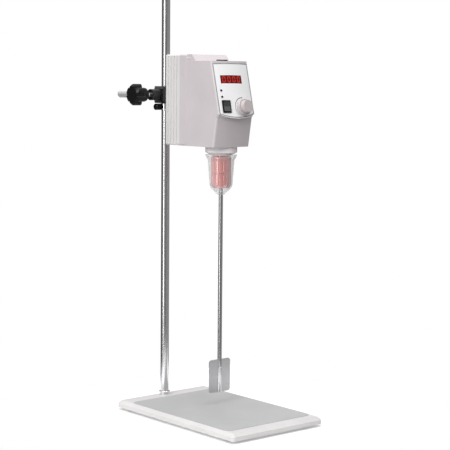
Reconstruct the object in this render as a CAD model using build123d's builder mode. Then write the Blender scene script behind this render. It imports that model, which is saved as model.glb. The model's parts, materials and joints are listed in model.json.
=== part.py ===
from build123d import *
from math import asin, atan2, cos, degrees, hypot, radians, sin, tan
import os

os.makedirs("parts", exist_ok=True)

# An overhead laboratory stirrer on its plate stand. All sizes are millimetres.
# +Z is up and the control panel faces -Y.
# The origin is on the bench, in the middle of the space that the stirrer fills.

# ---- Stand ----
base_width = 214.0
base_length = 340.5
base_thickness = 13.0
base_bevel_width = 6.5
base_bevel_height = 5.5
base_corner_radius = 7.0
film_thickness = 0.6
film_side_margin = 0.5
film_front_margin = 16.0
film_rear_margin = 30.0
film_corner_radius = 12.0
foot_diameter = 16.0
foot_taper = 8.0
foot_height = 5.0
foot_inset_x = 18.0
foot_inset_y = 28.0
foot_screw_diameter = 4.0
foot_screw_length = 8.0
foot_screw_head = 8.0
foot_screw_head_height = 1.6
rod_diameter = 16.0
rod_length = 800.0
rod_end_chamfer = 1.3
rod_x = -6.0
rod_setback = 17.5
rod_collar_wall = 2.5
rod_collar_height = 7.5
rod_collar_chamfer = 0.8
rod_bolt_diameter = 10.0
rod_bolt_grip = 22.0
rod_bolt_head = 16.0
rod_bolt_head_height = 4.9
rod_bolt_key = 9.0
rod_bolt_key_depth = 2.8
washer_diameter = 19.0
washer_thickness = 1.5
washer_gap = 0.6

# ---- Clamp that joins the rod and the arm ----
clamp_depth = 37.0
clamp_height = 32.0
clamp_end_length = 17.0
clamp_end_chamfer = 5.0
clamp_brow_height = 11.0
clamp_brow_depth = 9.0
clamp_boss_diameter = 21.0
clamp_boss_length = 20.0
clamp_screw_diameter = 9.5
clamp_screw_gap = 8.4
clamp_screw_chamfer = 1.2
knob_diameter = 40.0
knob_lobes = 6
knob_lobe_diameter = 12.0
knob_hollow_diameter = 9.6
knob_dome_height = 5.0
knob_dome_inset = 4.5
knob_dome_gap = 0.5
knob_star_length = 20.0
knob_hub_diameter = 25.0
knob_hub_length = 10.7
knob_neck_diameter = 16.0
knob_neck_length = 4.5
stop_ring_wall = 3.0
stop_ring_height = 12.5
stop_ring_gap = 0.5
stop_ring_chamfer = 1.0
stop_screw_diameter = 5.0
stop_head_diameter = 12.0
stop_head_length = 11.0
stop_head_gap = 3.3
stop_head_chamfer = 1.0

# ---- Arm ----
arm_diameter = 16.0
arm_length = 228.5
arm_seat = 25.0
arm_offset = 27.4
arm_end_chamfer = 1.5
arm_boss_wall = 6.0
set_screw_diameter = 6.0
set_screw_key = 3.0
set_screw_key_depth = 3.0

# ---- Head housing ----
head_width = 85.9
head_height = 168.5
head_drop = 93.5
head_gap = 1.1
casting_depth = 42.3
middle_depth = 19.4
spindle_setback = 112.8
shell_wall = 2.5
casting_wall = 4.0
casting_edge_radius = 3.0
casting_chamfer = 1.5
seam_chamfer = 1.2
rib_groove_width = 2.4
rib_groove_depth = 1.2
rib_groove_pitch = 8.6
rib_groove_count = 4
rib_groove_margin = 8.0
deck_drop = 12.1
brow_inset = 2.0
brow_top_reach = 14.0
brow_foot_reach = 25.3
panel_top_reach = 20.4
chin_reach = 43.1
throat_reach = 37.0
foot_reach = 28.1
chin_height = 61.3
throat_height = 53.3
front_bulge = 4.7
front_edge_radius = 2.5
lower_edge_radius = 4.5
chin_arc_drop = 7.5
chin_lip = 1.0

# ---- Control panel ----
panel_thickness = 3.0
panel_rim = 1.5
panel_gap = 0.2
window_width = 49.2
window_height = 15.2
window_centre_u = -4.4
window_centre_v = 31.5
window_thickness = 2.0
led_diameter = 4.0
led_length = 9.0
led_lift = 0.8
led_u = -31.0
led_first_v = 52.3
led_pitch = 11.8
switch_width = 18.1
switch_height = 23.3
switch_u = -24.4
switch_v = 82.0
switch_rim = 2.0
switch_bezel_lift = 1.2
switch_body_depth = 16.0
switch_gap = 0.3
rocker_angle = 8.0
rocker_drop = 4.0
speed_knob_diameter = 30.0
speed_knob_gap = 1.0
speed_knob_skirt = 6.0
speed_knob_skirt_taper = 4.0
speed_knob_height = 14.0
speed_knob_grip_diameter = 24.0
speed_knob_grip_taper = 6.0
speed_knob_recess_diameter = 14.0
speed_knob_recess_depth = 3.0
speed_knob_bore_depth = 11.2
speed_knob_u = 13.3
speed_knob_v = 84.0
speed_shaft_diameter = 6.0
speed_pot_diameter = 17.0
speed_pot_length = 9.0
speed_nut_width = 10.0
board_gap = 14.0
board_thickness = 1.6
board_width = 62.0
board_height = 54.0
board_v = 41.0
panel_ledge = 5.0
board_edge = 8.0
standoff_diameter = 5.0

# ---- Drive ----
spindle_diameter = 17.0
spindle_bore = 10.4
bearing_outside = 35.0
bearing_width = 10.0
bearing_race = 5.0
lower_bearing_lift = 2.0
frame_wall = 4.5
frame_plate_thickness = 5.0
frame_plate_level = 68.0
motor_gap = 1.0
motor_diameter = 48.0
motor_length = 48.0
motor_wall = 2.0
motor_shaft_diameter = 6.0
rotor_diameter = 30.0
stator_gap = 0.5
belt_width = 9.0
belt_thickness = 1.8
belt_gap = 0.15
driven_pulley_diameter = 42.0
drive_pulley_diameter = 14.0
pulley_flange = 1.5
pulley_flange_lift = 2.5
pulley_rise = 4.0
hole_plug_diameter = 21.0
hole_plug_height = 2.6
hole_plug_chamfer = 0.6
hole_plug_stem = 15.0
hole_plug_stem_length = 6.0
hole_plug_gap = 1.0
inlet_diameter = 12.0
inlet_flange_diameter = 16.0
inlet_depth = 14.0
inlet_socket_diameter = 8.0
inlet_pin_diameter = 2.4
inlet_socket_depth = 9.8
inlet_drop = 46.0
housing_screw_diameter = 4.0
housing_screw_head = 7.0
housing_screw_head_height = 3.0
housing_screw_inset = 8.0
housing_screw_bite = 8.4
post_length = 12.0
post_hole_depth = 9.6

# ---- Collar and guard ----
collar_diameter = 59.0
collar_height = 10.5
collar_cone_height = 6.2
collar_mouth_diameter = 35.2
collar_wall = 2.5
collar_bore = 24.0
lug_slot_angle = 30.0
lug_angle = 10.0
lug_shift = 9.0
lug_radius = 25.0
lug_thickness = 1.6
lug_reach = 5.5
lug_slot_gap = 0.7
guard_wall = 1.6
guard_flare_diameter = 60.0
guard_flare_gap = 4.5
guard_flare_height = 10.2
guard_neck_diameter = 49.2
guard_length = 73.7
guard_waist_diameter = 43.2
guard_nose_height = 22.5
guard_tip_diameter = 13.6
# Shares of the nose's narrowing, of its height and of the wall, at two points of its curve.
guard_nose_curve = ((0.76, 0.5, 0.5), (0.25, 0.17, 1.0))

# ---- Chuck ----
chuck_gap = 1.5
chuck_diameter = 38.0
chuck_length = 58.0
chuck_split = 30.6
sleeve_gap = 0.6
sleeve_wall = 2.4
sleeve_lip = 0.5
sleeve_shoulder = 4.0
sleeve_mouth_gap = 1.0
front_sleeve_gap = 0.4
flute_count = 18
flute_radius = 2.2
flute_depth = 0.7
flute_margin = 7.0
chuck_nose_diameter = 23.0
chuck_nose_height = 6.0
chuck_spindle_depth = 16.0
jaw_angle = 15.0
jaw_diameter = 6.0
jaw_offset = 1.3
jaw_length = 23.0
jaw_lift = 1.0
jaw_gap = 0.1
jaw_start_angle = 90.0
jaw_flank_angle = 148.0
jaw_flank_gap = 0.3
jaw_nut_height = 6.0
jaw_nut_lift = 18.0
jaw_nut_gap = 0.2
jaw_nut_seat = 1.5
jaw_travel = 4.0

# ---- Stirring shaft and paddle ----
shaft_diameter = 8.0
shaft_length = 420.0
paddle_lift = 24.5
shaft_grip = 36.0
shaft_gap = 0.05
blade_width = 50.0
blade_height = 62.0
blade_thickness = 2.0
blade_corner_radius = 5.0
blade_pin_diameter = 3.0

# ---- Clearances ----
running_gap = 0.06
fit_gap = 0.1

# ---- Places worked out from the sizes above ----
arm_free = arm_length - arm_seat - head_gap - clamp_depth / 2
rod_y = ((base_length - rod_setback) - arm_free) / 2
plate_y = rod_y + rod_setback - base_length / 2
plate_top = foot_height + base_thickness
shaft_bottom = plate_top + paddle_lift
chuck_bottom = shaft_bottom + shaft_length - shaft_grip
chuck_top = chuck_bottom + chuck_length
collar_bottom = chuck_top + chuck_gap
collar_cone_top = collar_bottom + collar_cone_height
head_bottom = collar_cone_top + collar_height
clamp_level = head_bottom + head_drop
clamp_rear_y = rod_y + clamp_depth / 2
head_rear_y = rod_y - clamp_depth / 2 - head_gap
casting_front_y = head_rear_y - casting_depth
middle_front_y = casting_front_y - middle_depth
spindle_y = head_rear_y - spindle_setback
head_x = rod_x + arm_offset
head_top = head_bottom + head_height
deck = head_top - deck_drop
chin = head_bottom + chin_height
throat = head_bottom + throat_height
panel_top = deck - front_edge_radius
half_width = head_width / 2
clamp_left = rod_x - clamp_end_length
clamp_right = head_x + clamp_end_length
clamp_bottom = clamp_level - clamp_height / 2
rod_bore = rod_diameter / 2 + running_gap
arm_bore = arm_diameter / 2 + running_gap


def level(x, y, z):
    """Horizontal plane with its origin at a point."""
    return Plane(origin=(x, y, z))


def facing(x, y, z, direction, across=(0, 0, 1)):
    """Plane at a point that looks along a direction."""
    return Plane(origin=(x, y, z), x_dir=across, z_dir=direction)


# ======== Stand ========
base_bevel_angle = degrees(atan2(base_bevel_width, base_bevel_height))
rod_bolt_seat = foot_height + base_thickness / 2
foot_spots = [
    (x * (base_width / 2 - foot_inset_x), y * (base_length / 2 - foot_inset_y))
    for x in (-1, 1)
    for y in (-1, 1)
]

with BuildPart() as base_plate:
    with BuildSketch(level(0, plate_y, foot_height)):
        RectangleRounded(base_width, base_length, base_corner_radius)
    extrude(amount=base_thickness - base_bevel_height)
    with BuildSketch(level(0, plate_y, plate_top - base_bevel_height)):
        RectangleRounded(base_width, base_length, base_corner_radius)
    extrude(amount=base_bevel_height, taper=base_bevel_angle)
    with BuildSketch(level(rod_x, rod_y, foot_height)):
        Circle(rod_bolt_diameter / 2 + fit_gap)
    extrude(amount=base_thickness, mode=Mode.SUBTRACT)
    with BuildSketch(level(rod_x, rod_y, foot_height)):
        Circle(washer_diameter / 2 + washer_gap)
    extrude(amount=rod_bolt_seat - foot_height, mode=Mode.SUBTRACT)
    with BuildSketch(level(0, plate_y, foot_height)):
        with Locations(foot_spots):
            Circle(foot_screw_diameter / 2)
    extrude(amount=foot_screw_length - foot_height / 2 + fit_gap, mode=Mode.SUBTRACT)
base_plate.part.label = "base_plate"
export_step(base_plate.part, "parts/base_plate.step")

film_width = base_width - 2 * (base_bevel_width + film_side_margin)
film_length = base_length - 2 * base_bevel_width - film_front_margin - film_rear_margin
film_y = plate_y + (film_front_margin - film_rear_margin) / 2

with BuildPart() as base_film:
    with BuildSketch(level(0, film_y, plate_top)):
        RectangleRounded(film_width, film_length, film_corner_radius)
    extrude(amount=film_thickness)
base_film.part.label = "base_film"
export_step(base_film.part, "parts/base_film.step")

with BuildPart() as rubber_feet:
    with BuildSketch(level(0, plate_y, foot_height)):
        with Locations(foot_spots):
            Circle(foot_diameter / 2)
            Circle(foot_screw_diameter / 2, mode=Mode.SUBTRACT)
    extrude(amount=-foot_height, taper=foot_taper)
    with BuildSketch(level(0, plate_y, 0)):
        with Locations(foot_spots):
            Circle(foot_screw_head / 2)
    extrude(amount=foot_height / 2, mode=Mode.SUBTRACT)
    with BuildSketch(level(0, plate_y, foot_height / 2)):
        with Locations(foot_spots):
            Circle(foot_screw_diameter / 2)
    extrude(amount=foot_height / 2, mode=Mode.SUBTRACT)
rubber_feet.part.label = "rubber_feet"
export_step(rubber_feet.part, "parts/rubber_feet.step")

with BuildPart() as foot_screws:
    with BuildSketch(level(0, plate_y, foot_height / 2)):
        with Locations(foot_spots):
            Circle(foot_screw_diameter / 2)
    extrude(amount=foot_screw_length)
    with BuildSketch(level(0, plate_y, foot_height / 2)):
        with Locations(foot_spots):
            Circle(foot_screw_head / 2 - fit_gap)
    extrude(amount=-foot_screw_head_height)
foot_screws.part.label = "foot_screws"
export_step(foot_screws.part, "parts/foot_screws.step")

with BuildPart() as stand_rod:
    with BuildSketch(level(rod_x, rod_y, plate_top)):
        Circle(rod_diameter / 2)
    extrude(amount=rod_length)
    chamfer(stand_rod.edges().sort_by(Axis.Z)[-1], rod_end_chamfer)
    with BuildSketch(level(rod_x, rod_y, plate_top)):
        Circle(rod_bolt_diameter / 2)
    extrude(amount=rod_bolt_grip, mode=Mode.SUBTRACT)
stand_rod.part.label = "stand_rod"
export_step(stand_rod.part, "parts/stand_rod.step")

with BuildPart() as rod_collar:
    with BuildSketch(level(rod_x, rod_y, plate_top)):
        Circle(rod_diameter / 2 + rod_collar_wall)
        Circle(rod_diameter / 2, mode=Mode.SUBTRACT)
    extrude(amount=rod_collar_height)
    chamfer(rod_collar.faces().sort_by(Axis.Z)[-1].outer_wire().edges(), rod_collar_chamfer)
rod_collar.part.label = "rod_collar"
export_step(rod_collar.part, "parts/rod_collar.step")

with BuildPart() as rod_washer:
    with BuildSketch(level(rod_x, rod_y, rod_bolt_seat - washer_thickness)):
        Circle(washer_diameter / 2)
        Circle(rod_bolt_diameter / 2 + fit_gap, mode=Mode.SUBTRACT)
    extrude(amount=washer_thickness)
rod_washer.part.label = "rod_washer"
export_step(rod_washer.part, "parts/rod_washer.step")

bolt_head_top = rod_bolt_seat - washer_thickness
with BuildPart() as rod_bolt:
    with BuildSketch(level(rod_x, rod_y, bolt_head_top)):
        Circle(rod_bolt_diameter / 2)
    extrude(amount=plate_top + rod_bolt_grip - fit_gap - bolt_head_top)
    with BuildSketch(level(rod_x, rod_y, bolt_head_top)):
        Circle(rod_bolt_head / 2)
    extrude(amount=-rod_bolt_head_height)
    with BuildSketch(level(rod_x, rod_y, bolt_head_top - rod_bolt_head_height)):
        RegularPolygon(rod_bolt_key / 2, 6)
    extrude(amount=rod_bolt_key_depth, mode=Mode.SUBTRACT)
rod_bolt.part.label = "rod_bolt"
export_step(rod_bolt.part, "parts/rod_bolt.step")

# ======== Stop ring under the clamp ========
ring_radius = rod_diameter / 2 + stop_ring_wall
ring_bottom = clamp_bottom - stop_ring_gap - stop_ring_height
ring_middle = ring_bottom + stop_ring_height / 2

with BuildPart() as stop_ring:
    with BuildSketch(level(rod_x, rod_y, ring_bottom)):
        Circle(ring_radius)
        Circle(rod_bore, mode=Mode.SUBTRACT)
    extrude(amount=stop_ring_height)
    chamfer(
        stop_ring.faces().sort_by(Axis.Z)[0].outer_wire().edges()
        + stop_ring.faces().sort_by(Axis.Z)[-1].outer_wire().edges(),
        stop_ring_chamfer,
    )
    with BuildSketch(facing(rod_x, rod_y, ring_middle, (-1, 0, 0))):
        Circle(stop_screw_diameter / 2 + fit_gap)
    extrude(amount=ring_radius, mode=Mode.SUBTRACT)
stop_ring.part.label = "stop_ring"
export_step(stop_ring.part, "parts/stop_ring.step")

stop_head_x = rod_x - ring_radius - stop_head_gap
with BuildPart() as stop_ring_screw:
    with BuildSketch(facing(rod_x - rod_bore, rod_y, ring_middle, (-1, 0, 0))):
        Circle(stop_screw_diameter / 2)
    extrude(amount=rod_x - rod_bore - stop_head_x)
    with BuildSketch(facing(stop_head_x, rod_y, ring_middle, (-1, 0, 0))):
        Circle(stop_head_diameter / 2)
    extrude(amount=stop_head_length)
    chamfer(stop_ring_screw.faces().sort_by(Axis.X)[0].edges(), stop_head_chamfer)
stop_ring_screw.part.label = "stop_ring_screw"
export_step(stop_ring_screw.part, "parts/stop_ring_screw.step")

# ======== Clamp ========
clamp_length = clamp_right - clamp_left

with BuildPart() as clamp_body:
    with BuildSketch(facing(clamp_left, rod_y, clamp_level, (1, 0, 0))):
        Rectangle(clamp_height, clamp_depth)
    extrude(amount=clamp_length)
    ends = clamp_body.faces().sort_by(Axis.X)
    chamfer(ends[0].edges() + ends[-1].edges(), clamp_end_chamfer)
    # The brow: a long slanted facet along the top of the front.
    with BuildSketch(facing(clamp_left, rod_y - clamp_depth / 2, clamp_level, (1, 0, 0))):
        with BuildLine():
            Polyline(
                (clamp_height / 2 - clamp_brow_height, 0),
                (clamp_height / 2, -clamp_brow_depth),
                (clamp_height / 2 + clamp_brow_height, 0),
                close=True,
            )
        make_face()
    extrude(amount=clamp_length, mode=Mode.SUBTRACT)
    for end_x, way in ((clamp_left, -1), (clamp_right, 1)):
        with BuildSketch(facing(end_x, rod_y, clamp_level, (way, 0, 0))):
            Circle(clamp_boss_diameter / 2)
        extrude(amount=clamp_boss_length)
    with BuildSketch(level(rod_x, rod_y, clamp_bottom)):
        Circle(rod_bore)
    extrude(amount=clamp_height, mode=Mode.SUBTRACT)
    with BuildSketch(facing(head_x, rod_y - clamp_depth / 2, clamp_level, (0, 1, 0))):
        Circle(arm_bore)
    extrude(amount=clamp_depth, mode=Mode.SUBTRACT)
    for start_x, way in ((rod_x, -1), (head_x, 1)):
        with BuildSketch(facing(start_x, rod_y, clamp_level, (way, 0, 0))):
            Circle(clamp_screw_diameter / 2 + fit_gap)
        extrude(amount=clamp_end_length + clamp_boss_length, mode=Mode.SUBTRACT)
clamp_body.part.label = "clamp_body"
export_step(clamp_body.part, "parts/clamp_body.step")


def star(radius):
    """Outline of a star grip: a disc with lobes and hollows."""
    lobe = knob_lobe_diameter / 2
    Circle(radius - lobe)
    with PolarLocations(radius - lobe, knob_lobes):
        Circle(lobe)
    with PolarLocations(radius, knob_lobes, start_angle=180 / knob_lobes):
        Circle(knob_hollow_diameter / 2, mode=Mode.SUBTRACT)


def clamp_knob(foot_x, way):
    """Star grip on a hub and a neck, bored for its screw, in the part that is open."""
    hub_x = foot_x + way * knob_neck_length
    star_x = hub_x + way * knob_hub_length
    rim = knob_diameter / 2 + knob_dome_gap
    with BuildSketch(facing(star_x, rod_y, clamp_level, (way, 0, 0))) as lobes:
        star(knob_diameter / 2)
    extrude(lobes.sketch, amount=knob_star_length)
    # The front edges of the lobes fall back in a cone.
    side_view = Plane(
        origin=(star_x, rod_y, clamp_level), x_dir=(way, 0, 0), z_dir=(0, -1, 0)
    )
    with BuildSketch(side_view) as envelope:
        with BuildLine():
            Polyline(
                (0, 0),
                (0, rim),
                (knob_star_length - knob_dome_height, rim),
                (knob_star_length, rim - knob_dome_inset),
                (knob_star_length, 0),
                close=True,
            )
        make_face()
    knob_axis = Axis((star_x, rod_y, clamp_level), (way, 0, 0))
    revolve(envelope.sketch, axis=knob_axis, mode=Mode.INTERSECT)
    for start_x, diameter, length in (
        (foot_x, knob_neck_diameter, knob_neck_length),
        (hub_x, knob_hub_diameter, knob_hub_length),
    ):
        with BuildSketch(facing(start_x, rod_y, clamp_level, (way, 0, 0))) as disc:
            Circle(diameter / 2)
        extrude(disc.sketch, amount=length)
    with BuildSketch(facing(foot_x, rod_y, clamp_level, (way, 0, 0))) as bore:
        Circle(clamp_screw_diameter / 2)
    extrude(bore.sketch, amount=knob_neck_length + knob_hub_length, mode=Mode.SUBTRACT)


def clamp_screw(tip_x, foot_x, way):
    """Plain bar from the rod or arm that it presses to the bottom of the knob's bore."""
    with BuildSketch(facing(tip_x, rod_y, clamp_level, (way, 0, 0))) as disc:
        Circle(clamp_screw_diameter / 2)
    extrude(disc.sketch, amount=abs(foot_x - tip_x) + knob_neck_length + knob_hub_length)


rod_knob_foot = clamp_left - clamp_boss_length - clamp_screw_gap
arm_knob_foot = clamp_right + clamp_boss_length + clamp_screw_gap

with BuildPart() as rod_clamp_knob:
    clamp_knob(rod_knob_foot, -1)
rod_clamp_knob.part.label = "rod_clamp_knob"
export_step(rod_clamp_knob.part, "parts/rod_clamp_knob.step")

with BuildPart() as rod_clamp_screw:
    clamp_screw(rod_x - rod_diameter / 2 - fit_gap, rod_knob_foot, -1)
    chamfer(rod_clamp_screw.faces().sort_by(Axis.X)[-1].edges(), clamp_screw_chamfer)
rod_clamp_screw.part.label = "rod_clamp_screw"
export_step(rod_clamp_screw.part, "parts/rod_clamp_screw.step")

with BuildPart() as arm_clamp_knob:
    clamp_knob(arm_knob_foot, 1)
arm_clamp_knob.part.label = "arm_clamp_knob"
export_step(arm_clamp_knob.part, "parts/arm_clamp_knob.step")

with BuildPart() as arm_clamp_screw:
    clamp_screw(head_x + arm_diameter / 2 + fit_gap, arm_knob_foot, 1)
    chamfer(arm_clamp_screw.faces().sort_by(Axis.X)[0].edges(), clamp_screw_chamfer)
arm_clamp_screw.part.label = "arm_clamp_screw"
export_step(arm_clamp_screw.part, "parts/arm_clamp_screw.step")

# ======== Arm ========
arm_front_y = head_rear_y - arm_seat

with BuildPart() as extension_arm:
    with BuildSketch(facing(head_x, arm_front_y, clamp_level, (0, 1, 0))):
        Circle(arm_diameter / 2)
    extrude(amount=arm_length)
    chamfer(extension_arm.edges().sort_by(Axis.Y)[-1], arm_end_chamfer)
extension_arm.part.label = "extension_arm"
export_step(extension_arm.part, "parts/extension_arm.step")

# ======== Rear casting ========
screw_spots = [
    (x * (half_width - housing_screw_inset), z * (head_height / 2 - housing_screw_inset))
    for x in (-1, 1)
    for z in (-1, 1)
]
head_middle = head_bottom + head_height / 2
inlet_z = clamp_level - inlet_drop
arm_boss_radius = arm_diameter / 2 + arm_boss_wall


def upright(y):
    """Plane across the head at y, looking towards the rear, X to the left."""
    return Plane(origin=(head_x, y, head_middle), x_dir=(-1, 0, 0), z_dir=(0, 1, 0))


def posts(front_y, rear_y, radius, mode=Mode.ADD):
    """Four bars along Y at the corners of the head."""
    with BuildSketch(upright(front_y)) as ends:
        with Locations(screw_spots):
            Circle(radius)
    extrude(ends.sketch, amount=rear_y - front_y, mode=mode)


post_radius = housing_screw_inset - shell_wall / 2
screw_hole = housing_screw_diameter / 2 + fit_gap

with BuildPart() as rear_casting:
    with BuildSketch(upright(casting_front_y)):
        RectangleRounded(head_width, head_height, casting_edge_radius)
    extrude(amount=casting_depth)
    chamfer(rear_casting.faces().sort_by(Axis.Y)[-1].outer_wire().edges(), casting_chamfer)
    with BuildSketch(upright(casting_front_y)):
        Rectangle(head_width - 2 * casting_wall, head_height - 2 * casting_wall)
    extrude(amount=casting_depth - casting_wall, mode=Mode.SUBTRACT)
    posts(casting_front_y, head_rear_y - casting_wall, post_radius)
    # A solid boss carries the arm.
    with BuildSketch(facing(head_x, arm_front_y - casting_wall, clamp_level, (0, 1, 0))):
        Circle(arm_boss_radius)
    extrude(amount=arm_seat)
    with BuildSketch(facing(head_x, arm_front_y, clamp_level, (0, 1, 0))):
        Circle(arm_diameter / 2)
    extrude(amount=arm_seat, mode=Mode.SUBTRACT)
    with BuildSketch(level(head_x, arm_front_y + arm_seat / 2, clamp_level)):
        Circle(set_screw_diameter / 2)
    extrude(amount=arm_boss_radius, mode=Mode.SUBTRACT)
    # Upright grooves on both sides.
    groove_z = head_bottom + casting_edge_radius
    for side in (-1, 1):
        for i in range(rib_groove_count):
            groove_y = casting_front_y + rib_groove_margin + i * rib_groove_pitch
            with BuildSketch(level(head_x + side * half_width, groove_y, groove_z)):
                Rectangle(2 * rib_groove_depth, rib_groove_width)
            extrude(amount=head_height - 2 * casting_edge_radius, mode=Mode.SUBTRACT)
    posts(casting_front_y, head_rear_y, screw_hole, Mode.SUBTRACT)
    posts(head_rear_y - casting_wall, head_rear_y, housing_screw_head / 2 + fit_gap, Mode.SUBTRACT)
    with BuildSketch(facing(head_x, head_rear_y - casting_wall, inlet_z, (0, 1, 0))):
        Circle(inlet_diameter / 2)
    extrude(amount=casting_wall, mode=Mode.SUBTRACT)
rear_casting.part.label = "rear_casting"
export_step(rear_casting.part, "parts/rear_casting.step")

with BuildPart() as arm_set_screw:
    with BuildSketch(level(head_x, arm_front_y + arm_seat / 2, clamp_level + arm_diameter / 2)):
        Circle(set_screw_diameter / 2)
    extrude(amount=arm_boss_wall)
    with BuildSketch(level(head_x, arm_front_y + arm_seat / 2, clamp_level + arm_boss_radius)):
        RegularPolygon(set_screw_key / 2, 6)
    extrude(amount=-set_screw_key_depth, mode=Mode.SUBTRACT)
arm_set_screw.part.label = "arm_set_screw"
export_step(arm_set_screw.part, "parts/arm_set_screw.step")

with BuildPart() as power_inlet:
    with BuildSketch(facing(head_x, head_rear_y - inlet_depth, inlet_z, (0, 1, 0))):
        Circle(inlet_diameter / 2)
    extrude(amount=inlet_depth)
    with BuildSketch(facing(head_x, head_rear_y, inlet_z, (0, 1, 0))):
        Circle(inlet_flange_diameter / 2)
    extrude(amount=head_gap)
    with BuildSketch(facing(head_x, head_rear_y + head_gap, inlet_z, (0, -1, 0))):
        Circle(inlet_socket_diameter / 2)
        Circle(inlet_pin_diameter / 2, mode=Mode.SUBTRACT)
    extrude(amount=inlet_socket_depth, mode=Mode.SUBTRACT)
power_inlet.part.label = "power_inlet"
export_step(power_inlet.part, "parts/power_inlet.step")

# ======== Middle housing ========
with BuildPart() as middle_housing:
    with BuildSketch(upright(middle_front_y)):
        RectangleRounded(head_width, head_height, casting_edge_radius)
        Rectangle(
            head_width - 2 * casting_wall, head_height - 2 * casting_wall, mode=Mode.SUBTRACT
        )
    extrude(amount=middle_depth)
    chamfer(middle_housing.faces().sort_by(Axis.Y)[0].outer_wire().edges(), seam_chamfer)
    posts(middle_front_y, casting_front_y, post_radius)
    posts(middle_front_y, casting_front_y, screw_hole, Mode.SUBTRACT)
middle_housing.part.label = "middle_housing"
export_step(middle_housing.part, "parts/middle_housing.step")

# ======== Front housing ========
slope = atan2(chin_reach - panel_top_reach, panel_top - chin)
bulge_radius = (half_width**2 + front_bulge**2) / (2 * front_bulge)
shell_depth = middle_front_y - spindle_y


def plan(front_y, inset, setback):
    """Plan of the front shell: straight sides and a bulging front, set in by its walls."""
    side = half_width - inset
    near = front_y + setback
    with BuildLine() as border:
        ThreePointArc((-side, near), (0, near - front_bulge), (side, near))
        Polyline((side, near), (side, head_height), (-side, head_height), (-side, near))
    make_face(border.edges())


def leaning(low_reach, low_z, high_reach, high_z, inset, setback, edge_radius):
    """Upright block with the shell's plan that leans so that its front follows a slope."""
    with BuildSketch(level(head_x, spindle_y, low_z)) as outline:
        plan(-low_reach, inset, setback)
        radius = max(edge_radius - inset, front_edge_radius / 5)
        fillet(outline.vertices().group_by(Axis.Y)[0], radius)
    rise, back = high_z - low_z, low_reach - high_reach
    extrude(outline.sketch, amount=hypot(rise, back), dir=(0, back, rise))


def reach_at(z):
    """How far the panel slope stands before the spindle at a height, at the head's sides."""
    return panel_top_reach + (panel_top - z) * tan(slope)


front_plane = Plane(origin=(head_x, 0, 0), x_dir=(1, 0, 0), z_dir=(0, -1, 0))
chin_edge = chin - chin_lip
chin_low = chin_edge - chin_arc_drop


def trim_to_front_view(width, top, bottom, arc_drop):
    """Keep what lies inside a front-view outline with a lower edge that hangs in an arc."""
    with BuildSketch(front_plane) as view:
        with BuildLine():
            Polyline(
                (-width / 2, bottom), (-width / 2, top), (width / 2, top), (width / 2, bottom)
            )
            ThreePointArc((width / 2, bottom), (0, bottom - arc_drop), (-width / 2, bottom))
        make_face()
    extrude(view.sketch, amount=2 * head_height, both=True, mode=Mode.INTERSECT)


def shell_block(inset, setback):
    """Solid form of the front shell, set in by its walls on every side but the rear."""
    ceiling = deck - inset
    with BuildPart() as block:
        upper, lower = front_edge_radius, lower_edge_radius
        leaning(reach_at(chin_low), chin_low, reach_at(ceiling), ceiling, inset, setback, upper)
        trim_to_front_view(head_width, head_top, chin_edge + inset, chin_arc_drop)
        leaning(throat_reach, throat, chin_reach, chin + inset, inset, setback, lower)
        leaning(foot_reach, head_bottom + inset, throat_reach, throat, inset, setback, lower)
        with BuildSketch(facing(head_x, spindle_y, ceiling, (1, 0, 0), (0, 1, 0))) as brow:
            with BuildLine():
                Polyline(
                    (shell_depth, 0),
                    (shell_depth - brow_foot_reach + inset, 0),
                    (shell_depth - brow_top_reach + inset, deck_drop),
                    (shell_depth, deck_drop),
                    close=True,
                )
            make_face()
        extrude(brow.sketch, amount=half_width - brow_inset - inset, both=True)
        with BuildSketch(upright(middle_front_y)) as rear:
            Rectangle(2 * head_width, 2 * head_height)
        extrude(rear.sketch, amount=2 * head_height, mode=Mode.SUBTRACT)
    return block.part


def panel_layer(depth, lift, width, top, bottom, arc_drop):
    """Layer of the panel slope, from a lift before its surface to a depth behind it."""
    low, high = chin_low - 2 * panel_thickness, deck + panel_thickness
    near = -reach_at(low)
    with BuildPart() as layer:
        with BuildSketch(level(head_x, spindle_y, low)) as band:
            with BuildLine():
                for front in (near - lift, near + depth):
                    ThreePointArc(
                        (-half_width, front), (0, front - front_bulge), (half_width, front)
                    )
                for side in (-half_width, half_width):
                    Line((side, near - lift), (side, near + depth))
            make_face()
        rise, back = high - low, reach_at(low) - reach_at(high)
        extrude(band.sketch, amount=hypot(rise, back), dir=(0, back, rise))
        trim_to_front_view(width, top, bottom, arc_drop)
    return layer.part


def spot(u, v, depth=0.0):
    """Plane on the panel, u across and v down from its top edge, that looks outwards."""
    turn = asin(u / bulge_radius)
    out = Vector(sin(turn) * cos(slope), -cos(turn) * cos(slope), cos(turn) * sin(slope))
    out = out.normalized()
    z = panel_top - v * cos(slope)
    bulge = front_bulge - bulge_radius * (1 - cos(turn))
    place = Vector(head_x + u, spindle_y - reach_at(z) - bulge, z) - out * depth
    return Plane(origin=place, x_dir=(cos(turn), sin(turn), 0), z_dir=out)


skin_depth = panel_thickness / cos(slope)
ledge_depth = shell_wall + panel_thickness
seat_width = head_width - 2 * panel_rim
led_spots = [(led_u, led_first_v + i * led_pitch) for i in range(2)]
plug_hole = hole_plug_stem / 2 + fit_gap

outside_form = shell_block(0, 0)
inside_form = shell_block(shell_wall, ledge_depth)
panel_seat = panel_layer(
    skin_depth, panel_thickness, seat_width, panel_top - panel_rim, chin_edge, 2 * chin_arc_drop
)
panel_opening = panel_layer(
    2 * ledge_depth,
    0,
    seat_width - 2 * panel_ledge,
    panel_top - panel_rim - panel_ledge,
    chin,
    panel_gap,
)

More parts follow.
